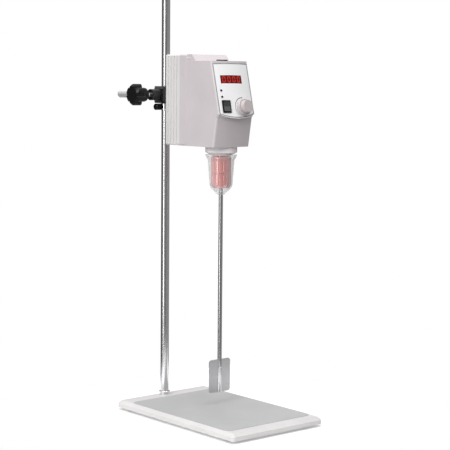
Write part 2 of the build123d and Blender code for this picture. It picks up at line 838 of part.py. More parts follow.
with BuildPart() as front_housing:
    add(outside_form)
    add(inside_form, mode=Mode.SUBTRACT)
    posts(middle_front_y - post_length, middle_front_y, post_radius)
    posts(middle_front_y - post_hole_depth, middle_front_y, screw_hole, Mode.SUBTRACT)
    add(panel_seat, mode=Mode.SUBTRACT)
    add(panel_opening, mode=Mode.SUBTRACT)
    with BuildSketch(level(head_x, spindle_y, deck - 2 * shell_wall)):
        Circle(plug_hole)
    extrude(amount=3 * shell_wall, mode=Mode.SUBTRACT)
    with BuildSketch(level(head_x, spindle_y, head_bottom)):
        Circle(collar_bore / 2)
    extrude(amount=shell_wall, mode=Mode.SUBTRACT)
front_housing.part.label = "front_housing"
export_step(front_housing.part, "parts/front_housing.step")

with BuildPart() as housing_screws:
    head_seat_y = head_rear_y - casting_wall
    posts(middle_front_y - housing_screw_bite, head_seat_y, screw_hole - fit_gap)
    posts(head_seat_y, head_seat_y + housing_screw_head_height, housing_screw_head / 2)
housing_screws.part.label = "housing_screws"
export_step(housing_screws.part, "parts/housing_screws.step")

with BuildPart() as hole_plug:
    with BuildSketch(level(head_x, spindle_y, deck)):
        Circle(hole_plug_diameter / 2)
    extrude(amount=hole_plug_height)
    chamfer(hole_plug.edges().sort_by(Axis.Z)[-1], hole_plug_chamfer)
    with BuildSketch(level(head_x, spindle_y, deck)):
        Circle(hole_plug_stem / 2)
    extrude(amount=-hole_plug_stem_length)
hole_plug.part.label = "hole_plug"
export_step(hole_plug.part, "parts/hole_plug.step")

# ======== Control panel ========
through = 3 * panel_thickness

window_plane = spot(window_centre_u, window_centre_v, -panel_thickness)
panel_form = panel_layer(
    skin_depth,
    0,
    seat_width - 2 * panel_gap,
    panel_top - panel_rim - panel_gap,
    chin_edge,
    chin_arc_drop,
)

with BuildPart() as front_panel:
    add(panel_form)
    with BuildSketch(window_plane):
        Rectangle(window_width, window_height)
    extrude(amount=-2 * through, mode=Mode.SUBTRACT)
    for u, v in led_spots:
        with BuildSketch(spot(u, v, -panel_thickness)):
            Circle(led_diameter / 2)
        extrude(amount=-through, mode=Mode.SUBTRACT)
    with BuildSketch(spot(switch_u, switch_v, -panel_thickness)):
        Rectangle(switch_width - switch_rim, switch_height - switch_rim)
    extrude(amount=-through, mode=Mode.SUBTRACT)
    with BuildSketch(spot(speed_knob_u, speed_knob_v, -panel_thickness)):
        Circle(speed_nut_width / 2)
    extrude(amount=-through, mode=Mode.SUBTRACT)
front_panel.part.label = "front_panel"
export_step(front_panel.part, "parts/front_panel.step")

window_form = panel_layer(
    skin_depth * window_thickness / panel_thickness,
    -panel_gap,
    head_width,
    deck,
    chin,
    panel_gap,
)

with BuildPart() as display_window:
    add(window_form)
    with BuildSketch(window_plane):
        Rectangle(window_width, window_height)
    extrude(amount=-2 * through, mode=Mode.INTERSECT)
display_window.part.label = "display_window"
export_step(display_window.part, "parts/display_window.step")

board_plane = spot(0, board_v, board_gap)
module_front = panel_thickness + 2 * window_thickness / 3

with BuildPart() as display_module:
    with BuildSketch(board_plane):
        with Locations((window_centre_u, board_v - window_centre_v)):
            Rectangle(window_width - 2 * panel_gap, window_height - 2 * panel_gap)
    extrude(amount=board_gap - module_front)
display_module.part.label = "display_module"
export_step(display_module.part, "parts/display_module.step")

with BuildPart() as control_board:
    with BuildSketch(board_plane):
        Rectangle(board_width, board_height)
    extrude(amount=-board_thickness)
control_board.part.label = "control_board"
export_step(control_board.part, "parts/control_board.step")

with BuildPart() as indicator_leds:
    for u, v in led_spots:
        with BuildSketch(spot(u, v, led_length)):
            Circle(led_diameter / 2)
        extrude(amount=led_length + led_lift)
indicator_leds.part.label = "indicator_leds"
export_step(indicator_leds.part, "parts/indicator_leds.step")

standoff_u = board_width / 2 - board_edge
standoff_v = board_height / 2 - standoff_diameter / 2

space_behind_panel = panel_layer(
    head_height, -skin_depth, head_width, head_top, head_bottom, panel_gap
)

with BuildPart() as board_standoffs:
    with BuildSketch(board_plane):
        with GridLocations(2 * standoff_u, 2 * standoff_v, 2, 2):
            Circle(standoff_diameter / 2)
    extrude(amount=board_gap)
    add(space_behind_panel, mode=Mode.INTERSECT)
board_standoffs.part.label = "board_standoffs"
export_step(board_standoffs.part, "parts/board_standoffs.step")

# The power switch: a frame in the panel and a rocker that tips about its middle.
rocker_width = switch_width - 2 * switch_rim - 2 * switch_gap
rocker_radius = switch_height / 2 - switch_rim - switch_gap
switch_plane = spot(switch_u, switch_v)

with BuildPart() as switch_frame:
    with BuildSketch(switch_plane):
        RectangleRounded(switch_width, switch_height, switch_rim / 2)
    extrude(amount=switch_bezel_lift)
    with BuildSketch(switch_plane):
        Rectangle(switch_width - switch_rim, switch_height - switch_rim)
    extrude(amount=-switch_body_depth)
    with BuildSketch(spot(switch_u, switch_v, -switch_bezel_lift)):
        Rectangle(switch_width - 2 * switch_rim, switch_height - 2 * switch_rim)
    extrude(amount=-rocker_radius - switch_bezel_lift, mode=Mode.SUBTRACT)
switch_frame.part.label = "switch_frame"
export_step(switch_frame.part, "parts/switch_frame.step")

rocker_side = Plane(
    origin=switch_plane.origin,
    x_dir=switch_plane.y_dir,
    z_dir=switch_plane.x_dir,
)
rocker_rise = rocker_radius * tan(radians(rocker_angle))
rocker_top = switch_bezel_lift

with BuildPart() as switch_rocker:
    with BuildSketch(rocker_side):
        Circle(rocker_radius)
        with BuildLine():
            Polyline(
                (0, rocker_top),
                (rocker_radius, rocker_top + rocker_rise),
                (rocker_radius, 2 * rocker_radius),
                (-rocker_radius, 2 * rocker_radius),
                (-rocker_radius, rocker_top + rocker_rise),
                close=True,
            )
        make_face(mode=Mode.SUBTRACT)
        with Locations((0, -rocker_radius)):
            Rectangle(2 * rocker_radius, 2 * (rocker_radius - rocker_drop), mode=Mode.SUBTRACT)
    extrude(amount=rocker_width / 2, both=True)
switch_rocker.part.label = "switch_rocker"
export_step(switch_rocker.part, "parts/switch_rocker.step")

# The speed control: a knob on a shaft that turns in a bushing through the panel.
speed_bore = speed_shaft_diameter / 2 + running_gap
pot_top = panel_thickness + speed_knob_gap
shaft_depth = panel_thickness + speed_pot_length / 2

with BuildPart() as speed_knob:
    with BuildSketch(spot(speed_knob_u, speed_knob_v, -speed_knob_gap)):
        Circle(speed_knob_diameter / 2)
    extrude(amount=speed_knob_skirt, taper=speed_knob_skirt_taper)
    with BuildSketch(spot(speed_knob_u, speed_knob_v, -speed_knob_gap - speed_knob_skirt)):
        Circle(speed_knob_grip_diameter / 2)
    extrude(amount=speed_knob_height - speed_knob_skirt, taper=speed_knob_grip_taper)
    with BuildSketch(spot(speed_knob_u, speed_knob_v, -speed_knob_gap)):
        Circle(speed_knob_recess_diameter / 2)
    extrude(amount=speed_knob_recess_depth, mode=Mode.SUBTRACT)
    with BuildSketch(spot(speed_knob_u, speed_knob_v, -speed_knob_gap)):
        Circle(speed_shaft_diameter / 2)
    extrude(amount=speed_knob_bore_depth, mode=Mode.SUBTRACT)
speed_knob.part.label = "speed_knob"
export_step(speed_knob.part, "parts/speed_knob.step")

with BuildPart() as speed_shaft:
    with BuildSketch(spot(speed_knob_u, speed_knob_v, shaft_depth)):
        Circle(speed_shaft_diameter / 2)
    extrude(amount=shaft_depth + speed_knob_gap + speed_knob_bore_depth)
speed_shaft.part.label = "speed_shaft"
export_step(speed_shaft.part, "parts/speed_shaft.step")

with BuildPart() as speed_control:
    with BuildSketch(spot(speed_knob_u, speed_knob_v, pot_top)):
        Circle(speed_pot_diameter / 2)
    extrude(amount=-speed_pot_length)
    with BuildSketch(spot(speed_knob_u, speed_knob_v, pot_top)):
        Circle(speed_nut_width / 2)
    extrude(amount=panel_thickness + 2 * speed_knob_gap)
    with BuildSketch(spot(speed_knob_u, speed_knob_v, -2 * speed_knob_gap)):
        Circle(speed_bore)
    extrude(amount=-shaft_depth - 3 * speed_knob_gap, mode=Mode.SUBTRACT)
speed_control.part.label = "speed_control"
export_step(speed_control.part, "parts/speed_control.step")

# ======== Spindle, bearings, motor and belt ========
spindle_axis = Axis((head_x, spindle_y, 0), (0, 0, 1))
floor_top = head_bottom + shell_wall
frame_top = head_bottom + frame_plate_level
lower_bearing = floor_top + lower_bearing_lift
upper_bearing = frame_top - bearing_width
motor_y = arm_front_y - casting_wall - motor_gap - motor_diameter / 2
motor_top = frame_top - frame_plate_thickness
belt_bottom = frame_top + pulley_rise + pulley_flange
belt_top = belt_bottom + belt_width
spindle_bottom = chuck_top - chuck_spindle_depth
spindle_top = deck - hole_plug_stem_length - hole_plug_gap


def ring(z, height, outside, inside, y=spindle_y):
    """Ring about an upright axis, given by its diameters, in the part that is open."""
    with BuildSketch(level(head_x, y, z)) as band:
        Circle(outside / 2)
        Circle(inside / 2, mode=Mode.SUBTRACT)
    extrude(band.sketch, amount=height)


with BuildPart() as bearing_frame:
    ring(floor_top, frame_top - floor_top, bearing_outside + 2 * frame_wall, bearing_outside)
    with BuildSketch(level(head_x, spindle_y, motor_top)):
        with BuildLine():
            CenterArc((0, 0), bearing_outside / 2 + frame_wall, 0, 360)
            CenterArc((0, motor_y - spindle_y), motor_diameter / 2, 0, 360)
        make_hull()
        Circle(bearing_outside / 2, mode=Mode.SUBTRACT)
        with Locations((0, motor_y - spindle_y)):
            Circle(motor_shaft_diameter, mode=Mode.SUBTRACT)
    extrude(amount=frame_plate_thickness)
    # Shoulders between the two bearings.
    shoulder_bottom = lower_bearing + bearing_width
    ring(
        shoulder_bottom,
        upper_bearing - shoulder_bottom,
        bearing_outside,
        bearing_outside - bearing_race,
    )
bearing_frame.part.label = "bearing_frame"
export_step(bearing_frame.part, "parts/bearing_frame.step")

race_gap = 2 * running_gap
race_middle = (bearing_outside + spindle_diameter) / 2

with BuildPart() as bearing_outer_rings:
    for z in (lower_bearing, upper_bearing):
        ring(z, bearing_width, bearing_outside, race_middle + race_gap)
bearing_outer_rings.part.label = "bearing_outer_rings"
export_step(bearing_outer_rings.part, "parts/bearing_outer_rings.step")

with BuildPart() as bearing_inner_rings:
    for z in (lower_bearing, upper_bearing):
        ring(z, bearing_width, race_middle, spindle_diameter)
bearing_inner_rings.part.label = "bearing_inner_rings"
export_step(bearing_inner_rings.part, "parts/bearing_inner_rings.step")

with BuildPart() as spindle:
    ring(spindle_bottom, spindle_top - spindle_bottom, spindle_diameter, spindle_bore)
spindle.part.label = "spindle"
export_step(spindle.part, "parts/spindle.step")


def pulley(diameter, bore, y):
    """Flat pulley with a flange above and below the belt, in the part that is open."""
    flange = diameter + 2 * pulley_flange_lift
    ring(belt_bottom - pulley_flange, pulley_flange, flange, bore, y)
    ring(belt_bottom, belt_width, diameter, bore, y)
    ring(belt_top, pulley_flange, flange, bore, y)


with BuildPart() as driven_pulley:
    pulley(driven_pulley_diameter, spindle_diameter, spindle_y)
driven_pulley.part.label = "driven_pulley"
export_step(driven_pulley.part, "parts/driven_pulley.step")

with BuildPart() as drive_pulley:
    pulley(drive_pulley_diameter, motor_shaft_diameter, motor_y)
drive_pulley.part.label = "drive_pulley"
export_step(drive_pulley.part, "parts/drive_pulley.step")

with BuildPart() as drive_belt:
    for grow, how in ((belt_gap + belt_thickness, Mode.ADD), (belt_gap, Mode.SUBTRACT)):
        with BuildSketch(level(head_x, spindle_y, belt_bottom + belt_gap)):
            with BuildLine():
                CenterArc((0, 0), driven_pulley_diameter / 2 + grow, 0, 360)
                CenterArc((0, motor_y - spindle_y), drive_pulley_diameter / 2 + grow, 0, 360)
            make_hull()
        extrude(amount=belt_width - 2 * belt_gap, mode=how)
drive_belt.part.label = "drive_belt"
export_step(drive_belt.part, "parts/drive_belt.step")

motor_bottom = motor_top - motor_length
motor_bore = motor_diameter - 2 * motor_wall
rotor_bottom = motor_bottom + 2 * motor_wall
rotor_length = motor_length - 4 * motor_wall

with BuildPart() as motor_case:
    ring(motor_bottom, motor_length, motor_diameter, motor_bore, motor_y)
    for z in (motor_bottom, motor_top - motor_wall):
        ring(z, motor_wall, motor_bore, motor_shaft_diameter + 2 * running_gap, motor_y)
motor_case.part.label = "motor_case"
export_step(motor_case.part, "parts/motor_case.step")

with BuildPart() as motor_stator:
    ring(rotor_bottom, rotor_length, motor_bore, rotor_diameter + 2 * stator_gap, motor_y)
motor_stator.part.label = "motor_stator"
export_step(motor_stator.part, "parts/motor_stator.step")

with BuildPart() as motor_rotor:
    with BuildSketch(level(head_x, motor_y, motor_bottom)):
        Circle(motor_shaft_diameter / 2)
    extrude(amount=belt_top + pulley_flange - motor_bottom)
    ring(rotor_bottom, rotor_length, rotor_diameter, motor_shaft_diameter, motor_y)
motor_rotor.part.label = "motor_rotor"
export_step(motor_rotor.part, "parts/motor_rotor.step")

# ======== Collar under the head ========
collar_radius = collar_diameter / 2
mouth_radius = collar_mouth_diameter / 2


def profile(z):
    """Upright plane through the spindle, with its origin on the axis at a height."""
    return Plane(origin=(head_x, spindle_y, z), x_dir=(1, 0, 0), z_dir=(0, -1, 0))


def arc_slots(radius, width, angle, turn, z, height, mode=Mode.ADD):
    """Three curved bars about the spindle, equally spaced."""
    with BuildSketch(level(head_x, spindle_y, z)) as bars:
        for i in range(3):
            middle = -90 + turn + 120 * i
            with BuildLine(mode=Mode.PRIVATE) as track:
                CenterArc((0, 0), radius, middle - angle / 2, angle)
            SlotArc(track.edges()[0], width)
    extrude(bars.sketch, amount=height, mode=mode)


with BuildPart() as nose_collar:
    with BuildSketch(profile(collar_bottom)):
        with BuildLine():
            Polyline(
                (collar_bore / 2, 0),
                (mouth_radius, 0),
                (collar_radius, collar_cone_height),
                (collar_radius, collar_cone_height + collar_height),
                (collar_radius - collar_wall, collar_cone_height + collar_height),
                (collar_radius - collar_wall, collar_cone_height + collar_wall / 2),
                (mouth_radius - collar_wall / 2, collar_wall),
                (collar_bore / 2, collar_wall),
                close=True,
            )
        make_face()
    revolve(axis=spindle_axis)
    arc_slots(
        lug_radius,
        lug_thickness + 2 * lug_slot_gap,
        lug_slot_angle,
        0,
        collar_bottom,
        collar_cone_height + collar_height / 2,
        Mode.SUBTRACT,
    )
nose_collar.part.label = "nose_collar"
export_step(nose_collar.part, "parts/nose_collar.step")

# ======== Guard ========
guard_top = collar_cone_top - guard_flare_gap
guard_bottom = guard_top - guard_length
guard_waist = guard_bottom + guard_nose_height
guard_neck = guard_top - guard_flare_height


def guard_form(inset):
    """Solid of revolution inside the guard's outer skin, set in by its wall."""
    flare, neck = guard_flare_diameter / 2 - inset, guard_neck_diameter / 2 - inset
    waist, tip = guard_waist_diameter / 2 - inset, guard_tip_diameter / 2 - inset
    foot = guard_bottom + inset / 2
    nose = [
        (tip + (waist - tip) * across, guard_bottom + guard_nose_height * up + inset * wall)
        for across, up, wall in guard_nose_curve
    ]
    with BuildPart() as form:
        with BuildSketch(profile(0)):
            with BuildLine():
                Polyline(
                    (0, foot),
                    (0, guard_top),
                    (flare, guard_top),
                    (neck, guard_neck),
                    (waist, guard_waist),
                )
                Spline(
                    (waist, guard_waist), *nose, (tip, foot), tangents=((0, -1), (-1, -1))
                )
                Line((tip, foot), (0, foot))
            make_face()
        revolve(axis=spindle_axis)
    return form.part


guard_outside, guard_inside = guard_form(0), guard_form(guard_wall)
lug_foot = guard_neck + guard_flare_height / 4

with BuildPart() as chuck_guard:
    add(guard_outside)
    add(guard_inside, mode=Mode.SUBTRACT)
    with BuildSketch(level(head_x, spindle_y, guard_bottom)):
        Circle(guard_tip_diameter / 2 - guard_wall)
    extrude(amount=guard_wall * 2, mode=Mode.SUBTRACT)
    arc_slots(
        lug_radius, lug_thickness, lug_angle, lug_shift, lug_foot, guard_top + lug_reach - lug_foot
    )
chuck_guard.part.label = "chuck_guard"
export_step(chuck_guard.part, "parts/chuck_guard.step")

# ======== Three-jaw chuck ========
chuck_radius = chuck_diameter / 2
sleeve_bore = chuck_radius - sleeve_wall
core_radius = sleeve_bore - sleeve_gap / 2
nose_radius = chuck_nose_diameter / 2
split_z = chuck_top - chuck_split
jaw_nut_bottom = chuck_bottom + jaw_nut_lift
lean = radians(jaw_angle)
grip = shaft_diameter / 2 + shaft_gap
jaw_radius = jaw_diameter / 2
jaw_base = chuck_bottom + jaw_lift
nut_outside = core_radius - jaw_nut_gap
front_core_radius = nut_outside - front_sleeve_gap


def jaw_axis(azimuth, z):
    """Plane across a jaw's sloping axis where it passes a height, looking up along it."""
    reach = grip + jaw_offset + (z - jaw_base) * tan(lean)
    a = radians(azimuth)
    outwards = Vector(cos(a), sin(a), 0)
    place = Vector(head_x, spindle_y, z) + outwards * reach
    return Plane(
        origin=place,
        x_dir=outwards * cos(lean) - Vector(0, 0, 1) * sin(lean),
        z_dir=outwards * sin(lean) + Vector(0, 0, 1) * cos(lean),
    )


def jaw_reach(z):
    """How far the outer side of a jaw stands from the spindle axis at a height."""
    return grip + jaw_offset + (z - jaw_base) * tan(lean) + jaw_radius / cos(lean)


jaw_azimuths = [jaw_start_angle + 120 * i for i in range(3)]
nut_seat_radius = jaw_reach(jaw_nut_bottom) - jaw_nut_seat
nut_top = jaw_nut_bottom + jaw_nut_height
sleeve_foot = split_z + sleeve_gap

with BuildPart() as chuck_body:
    with BuildSketch(profile(chuck_bottom)):
        with BuildLine():
            Polyline(
                (0, 0),
                (nose_radius, 0),
                (front_core_radius, chuck_nose_height),
                (front_core_radius, jaw_nut_bottom - chuck_bottom),
                (nut_seat_radius, jaw_nut_bottom - chuck_bottom),
                (nut_seat_radius, nut_top - chuck_bottom),
                (front_core_radius, nut_top - chuck_bottom),
                (front_core_radius, sleeve_foot - chuck_bottom),
                (core_radius, sleeve_foot - chuck_bottom),
                (core_radius, chuck_length),
                (0, chuck_length),
                close=True,
            )
        make_face()
    revolve(axis=spindle_axis)
    with BuildSketch(level(head_x, spindle_y, chuck_bottom)):
        Circle(shaft_diameter / 2 + fit_gap)
    extrude(amount=chuck_length, mode=Mode.SUBTRACT)
    with BuildSketch(level(head_x, spindle_y, spindle_bottom)):
        Circle(spindle_diameter / 2)
    extrude(amount=chuck_spindle_depth, mode=Mode.SUBTRACT)
    for azimuth in jaw_azimuths:
        with BuildSketch(jaw_axis(azimuth, jaw_base - jaw_diameter)):
            Circle(jaw_radius + jaw_gap)
        extrude(
            amount=jaw_diameter / cos(lean) + jaw_length + jaw_travel + 1, mode=Mode.SUBTRACT
        )
chuck_body.part.label = "chuck_body"
export_step(chuck_body.part, "parts/chuck_body.step")

for i, azimuth in enumerate(jaw_azimuths, start=1):
    with BuildPart() as chuck_jaw:
        with BuildSketch(jaw_axis(azimuth, jaw_base - jaw_diameter)):
            Circle(jaw_radius)
        extrude(amount=jaw_diameter / cos(lean) + jaw_length)
        # Trim the tip level with the nose and the inner side to the shaft.
        with BuildSketch(level(head_x, spindle_y, jaw_base - 3 * jaw_diameter)):
            Circle(chuck_diameter)
        extrude(amount=3 * jaw_diameter, mode=Mode.SUBTRACT)
        with BuildSketch(level(head_x, spindle_y, jaw_base)):
            Circle(grip)
        extrude(amount=chuck_length, mode=Mode.SUBTRACT)
        # Two flanks keep the jaw inside its third of the circle.
        for side in (-1, 1):
            turn = radians(azimuth + side * jaw_flank_angle)
            flank = Plane(
                origin=(head_x, spindle_y, jaw_base), x_dir=(0, 0, 1), z_dir=(cos(turn), sin(turn), 0)
            )
            with BuildSketch(flank.offset(jaw_flank_gap)):
                Rectangle(4 * chuck_length, 4 * chuck_length)
            extrude(amount=chuck_diameter, mode=Mode.SUBTRACT)
    name = f"chuck_jaw_{i}"
    chuck_jaw.part.label = name
    export_step(chuck_jaw.part, f"parts/{name}.step")

with BuildPart() as jaw_nut:
    with BuildSketch(profile(jaw_nut_bottom)):
        with BuildLine():
            Polyline(
                (jaw_reach(jaw_nut_bottom) + jaw_gap, 0),
                (nut_outside, 0),
                (nut_outside, jaw_nut_height - fit_gap),
                (jaw_reach(nut_top - fit_gap) + jaw_gap, jaw_nut_height - fit_gap),
                close=True,
            )
        make_face()
    revolve(axis=spindle_axis)
jaw_nut.part.label = "jaw_nut"
export_step(jaw_nut.part, "parts/jaw_nut.step")


def flutes(z, height):
    """Shallow grooves round a sleeve, cut from the sleeve that is open."""
    with BuildSketch(level(head_x, spindle_y, z)) as cuts:
        with PolarLocations(chuck_radius + flute_radius - flute_depth, flute_count):
            Circle(flute_radius)
    extrude(cuts.sketch, amount=height, mode=Mode.SUBTRACT)


with BuildPart() as rear_sleeve:
    ring(sleeve_foot, chuck_top - sleeve_foot, chuck_diameter, 2 * core_radius)
    chamfer(rear_sleeve.faces().sort_by(Axis.Z)[-1].outer_wire().edges(), sleeve_wall / 2)
    flutes(sleeve_foot + flute_margin / 2, chuck_top - sleeve_foot - 1.5 * flute_margin)
rear_sleeve.part.label = "rear_sleeve"
export_step(rear_sleeve.part, "parts/rear_sleeve.step")

with BuildPart() as front_sleeve:
    with BuildSketch(profile(chuck_bottom)):
        with BuildLine():
            Polyline(
                (nose_radius + sleeve_mouth_gap, -sleeve_lip),
                (chuck_radius - sleeve_shoulder, -sleeve_lip),
                (chuck_radius, chuck_nose_height - sleeve_lip),
                (chuck_radius, split_z - chuck_bottom),
                (nut_outside, split_z - chuck_bottom),
                (nut_outside, chuck_nose_height),
                close=True,
            )
        make_face()
    revolve(axis=spindle_axis)
    flutes(chuck_bottom + flute_margin, split_z - chuck_bottom - 1.5 * flute_margin)
front_sleeve.part.label = "front_sleeve"
export_step(front_sleeve.part, "parts/front_sleeve.step")

# ======== Stirring shaft and paddle ========
with BuildPart() as stirring_shaft:
    with BuildSketch(level(head_x, spindle_y, shaft_bottom)):
        Circle(shaft_diameter / 2)
    extrude(amount=shaft_length)
    with BuildSketch(level(head_x, spindle_y, shaft_bottom)):
        Rectangle(shaft_diameter, blade_thickness)
    extrude(amount=blade_height, mode=Mode.SUBTRACT)
    with BuildSketch(profile(shaft_bottom)):
        with Locations((0, blade_height / 4), (0, blade_height * 3 / 4)):
            Circle(blade_pin_diameter / 2)
    extrude(amount=shaft_diameter, both=True, mode=Mode.SUBTRACT)
stirring_shaft.part.label = "stirring_shaft"
export_step(stirring_shaft.part, "parts/stirring_shaft.step")

with BuildPart() as paddle_blade:
    with BuildSketch(profile(shaft_bottom + blade_height / 2)):
        RectangleRounded(blade_width, blade_height, blade_corner_radius)
        with Locations((0, -blade_height / 4), (0, blade_height / 4)):
            Circle(blade_pin_diameter / 2, mode=Mode.SUBTRACT)
    extrude(amount=blade_thickness / 2, both=True)
paddle_blade.part.label = "paddle_blade"
export_step(paddle_blade.part, "parts/paddle_blade.step")

with BuildPart() as blade_rivets:
    with BuildSketch(profile(shaft_bottom)):
        with Locations((0, blade_height / 4), (0, blade_height * 3 / 4)):
            Circle(blade_pin_diameter / 2)
    extrude(amount=shaft_diameter / 2, both=True)
blade_rivets.part.label = "blade_rivets"
export_step(blade_rivets.part, "parts/blade_rivets.step")
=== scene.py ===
"""Overhead laboratory stirrer: finishes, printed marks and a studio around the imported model."""

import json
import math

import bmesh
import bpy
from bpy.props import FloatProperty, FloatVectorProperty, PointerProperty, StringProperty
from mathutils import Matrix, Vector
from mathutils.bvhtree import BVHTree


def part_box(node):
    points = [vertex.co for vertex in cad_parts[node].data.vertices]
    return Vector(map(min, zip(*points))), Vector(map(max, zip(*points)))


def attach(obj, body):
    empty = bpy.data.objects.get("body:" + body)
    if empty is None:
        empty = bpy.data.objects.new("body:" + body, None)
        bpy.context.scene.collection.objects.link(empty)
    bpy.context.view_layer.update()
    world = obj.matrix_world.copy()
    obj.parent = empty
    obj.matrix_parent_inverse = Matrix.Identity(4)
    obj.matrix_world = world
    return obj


bl_info = {
    "name": "Overhead Stirrer",
    "version": (1, 0, 0),
    "blender": (4, 5, 0),
    "location": "View3D > Sidebar > Stirrer",
    "description": "Dresses the parts of a laboratory stirrer and sets up its studio",
    "category": "Object",
}

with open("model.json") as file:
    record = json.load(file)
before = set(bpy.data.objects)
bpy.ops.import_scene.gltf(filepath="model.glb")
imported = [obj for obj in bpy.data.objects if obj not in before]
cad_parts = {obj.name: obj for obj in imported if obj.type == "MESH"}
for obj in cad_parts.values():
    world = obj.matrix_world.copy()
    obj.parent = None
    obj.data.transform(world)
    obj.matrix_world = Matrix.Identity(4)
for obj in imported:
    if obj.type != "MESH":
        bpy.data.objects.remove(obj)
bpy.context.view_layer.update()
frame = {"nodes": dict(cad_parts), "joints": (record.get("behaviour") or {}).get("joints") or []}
nodes = frame["nodes"]
joints = {joint["name"]: joint for joint in frame["joints"]}
knob_axis = joints["speed_turn"]["axis"]

MM = 0.001
# Brightness of the studio's air by direction, in degrees from +X towards +Y, and overhead.
AIR_BANDS = (
    (-180.0, 0.36), (-168.0, 0.36), (-142.0, 0.22), (-114.0, 0.09), (-85.0, 0.20),
    (-12.0, 0.20), (50.0, 0.26), (122.0, 0.03), (160.0, 0.17), (180.0, 0.36),
)
AIR_STRENGTH = 1.5
AIR_OVERHEAD = 0.60
# Name, place, width, height in metres and power in watts of each soft light.
STUDIO_LIGHTS = (
    ("key_light", (-2.5, -1.0, 1.9), 1.6, 1.6, 59.0),
    ("front_light", (-0.4, -2.6, 2.4), 1.4, 1.4, 8.0),
    ("top_light", (0.1, -0.3, 3.0), 2.2, 2.2, 40.0),
    ("strip_light", (-2.6, -0.27, 0.55), 0.36, 1.7, 9.0),
)
LIGHT_TARGET = (0.0, 0.0, 0.45)
# Rise of a direction, as its share along +Z, over which the overhead brightness takes over.
OVERHEAD_FROM, OVERHEAD_TO = 0.3, 0.8
FLOOR_HALF = 0.36
FLOOR_GLOW = 0.24
SENSOR_WIDTH = 36.0
VIEW_DEPTH = 100.0

# Coats and mouldings.
MOTTLE_SCALE, MOTTLE_DETAIL = 14.0, 3.0
MOTTLE_FROM, MOTTLE_TO = 0.35, 0.65
GRAIN_DEPTH, GRAIN_DETAIL = 0.2 * MM, 2.0
LACQUER_IOR, LACQUER_ROUGHNESS = 2.1, 0.06

# Scratches in metal, and the share of its roughness at their smooth and rough places.
LAY_SCALE, LAY_DETAIL, LAY_DEPTH = 600.0, 3.0, 0.1 * MM
SMOOTH_SHARE, ROUGH_SHARE = 0.7, 1.35

# Clear plastic: how little and how much of it is seen, face on and at its edges.
CLEAR_BLEND = 0.35
CLEAR_FACE, CLEAR_EDGE = 0.03, 0.60
CLEAR_ROUGHNESS, CLEAR_IOR, CLEAR_GLOSS = 0.14, 1.49, 0.12
GLOW_ROUGHNESS = 0.4

# Flat prints on the panel.
PRINT_THICKNESS = 0.05 * MM
PROBE_HEIGHT = 50.0 * MM
DIGIT_LIFT = 0.02 * MM
DIGIT_GLOW = 0.6
BAR_GAP_SHARE = 0.25
SCALE_START, SCALE_SWEEP = math.radians(228.0), math.radians(-145.0)
SCALE_STEPS = 36
SCALE_FINE_SHARE = 0.35
BORDER_CUTS = 24
RIM_STEPS = 4


def colour(name, description, default):
    """A colour that a user can set."""
    return FloatVectorProperty(
        name=name, description=description, default=default,
        min=0.0, max=1.0, size=3, subtype="COLOR",
    )


def length(name, description, millimetres):
    """A length that a user can set, given in millimetres."""
    return FloatProperty(
        name=name, description=description, default=millimetres * MM, min=0.0,
        subtype="DISTANCE", unit="LENGTH",
    )


class StirrerColours(bpy.types.PropertyGroup):
    """Colours of the stirrer's surfaces."""

    plate: colour("Plate", "Coat of the stand plate", (0.57, 0.555, 0.555))
    film: colour("Film", "Film on the plate", (0.40, 0.40, 0.405))
    casting: colour("Casting", "Coat of the rear casting", (0.655, 0.635, 0.635))
    shell: colour("Shell", "Coat of the front and middle housing", (0.565, 0.52, 0.535))
    # The collar is the shell's coat painted lighter: painted light that makes up for the shade
    # under the head's overhang.
    collar_painted_lighter: colour("Collar", "Collar under the head", (0.82, 0.78, 0.79))
    panel: colour("Panel", "Face of the control panel", (0.85, 0.85, 0.86))
    black: colour("Black", "Black coat and plastic", (0.007, 0.007, 0.0075))
    steel: colour("Steel", "Ground stainless steel", (0.72, 0.72, 0.73))
    sleeve: colour("Sleeve", "Sleeves of the chuck", (0.66, 0.235, 0.22))
    knob: colour("Knob", "Speed knob", (0.49, 0.44, 0.445))
    window: colour("Window", "Filter before the display", (0.13, 0.008, 0.007))
    digits: colour("Digits", "Lit bars of the display", (0.42, 0.018, 0.014))
    border: colour("Border", "Printed border of the panel", (0.29, 0.275, 0.28))
    ink: colour("Ink", "Printed scale on the panel", (0.09, 0.09, 0.095))
    guard: colour("Guard", "Clear plastic of the chuck guard", (0.88, 0.89, 0.90))
    foot: colour("Foot", "Rubber feet", (0.02, 0.02, 0.02))
    lamp: colour("Lamp", "Unlit indicator lamps", (0.006, 0.006, 0.006))
    chrome: colour("Chrome", "Plated rings and clamp screws", (0.8, 0.8, 0.81))
    zinc: colour("Zinc", "Plated fasteners", (0.6, 0.6, 0.62))
    arm: colour("Arm", "Bar of the extension arm", (0.93, 0.93, 0.94))
    chuck: colour("Chuck", "Core, nut and jaws of the chuck", (0.55, 0.55, 0.57))
    shaft: colour("Shaft", "Stirring shaft", (0.62, 0.62, 0.63))
    blade: colour("Blade", "Paddle blade", (0.52, 0.52, 0.53))
    aluminium: colour("Aluminium", "Machined bearing frame and pulleys", (0.7, 0.7, 0.71))
    bearing: colour("Bearing", "Bearings, spindle and rotor", (0.6, 0.6, 0.62))
    motor: colour("Motor", "Motor case and small metal parts", (0.55, 0.56, 0.58))
    winding: colour("Winding", "Lacquered motor windings", (0.35, 0.14, 0.05))
    belt: colour("Belt", "Drive belt", (0.03, 0.03, 0.03))
    board: colour("Board", "Circuit board", (0.02, 0.12, 0.05))
    module: colour("Module", "Back of the display", (0.02, 0.02, 0.02))


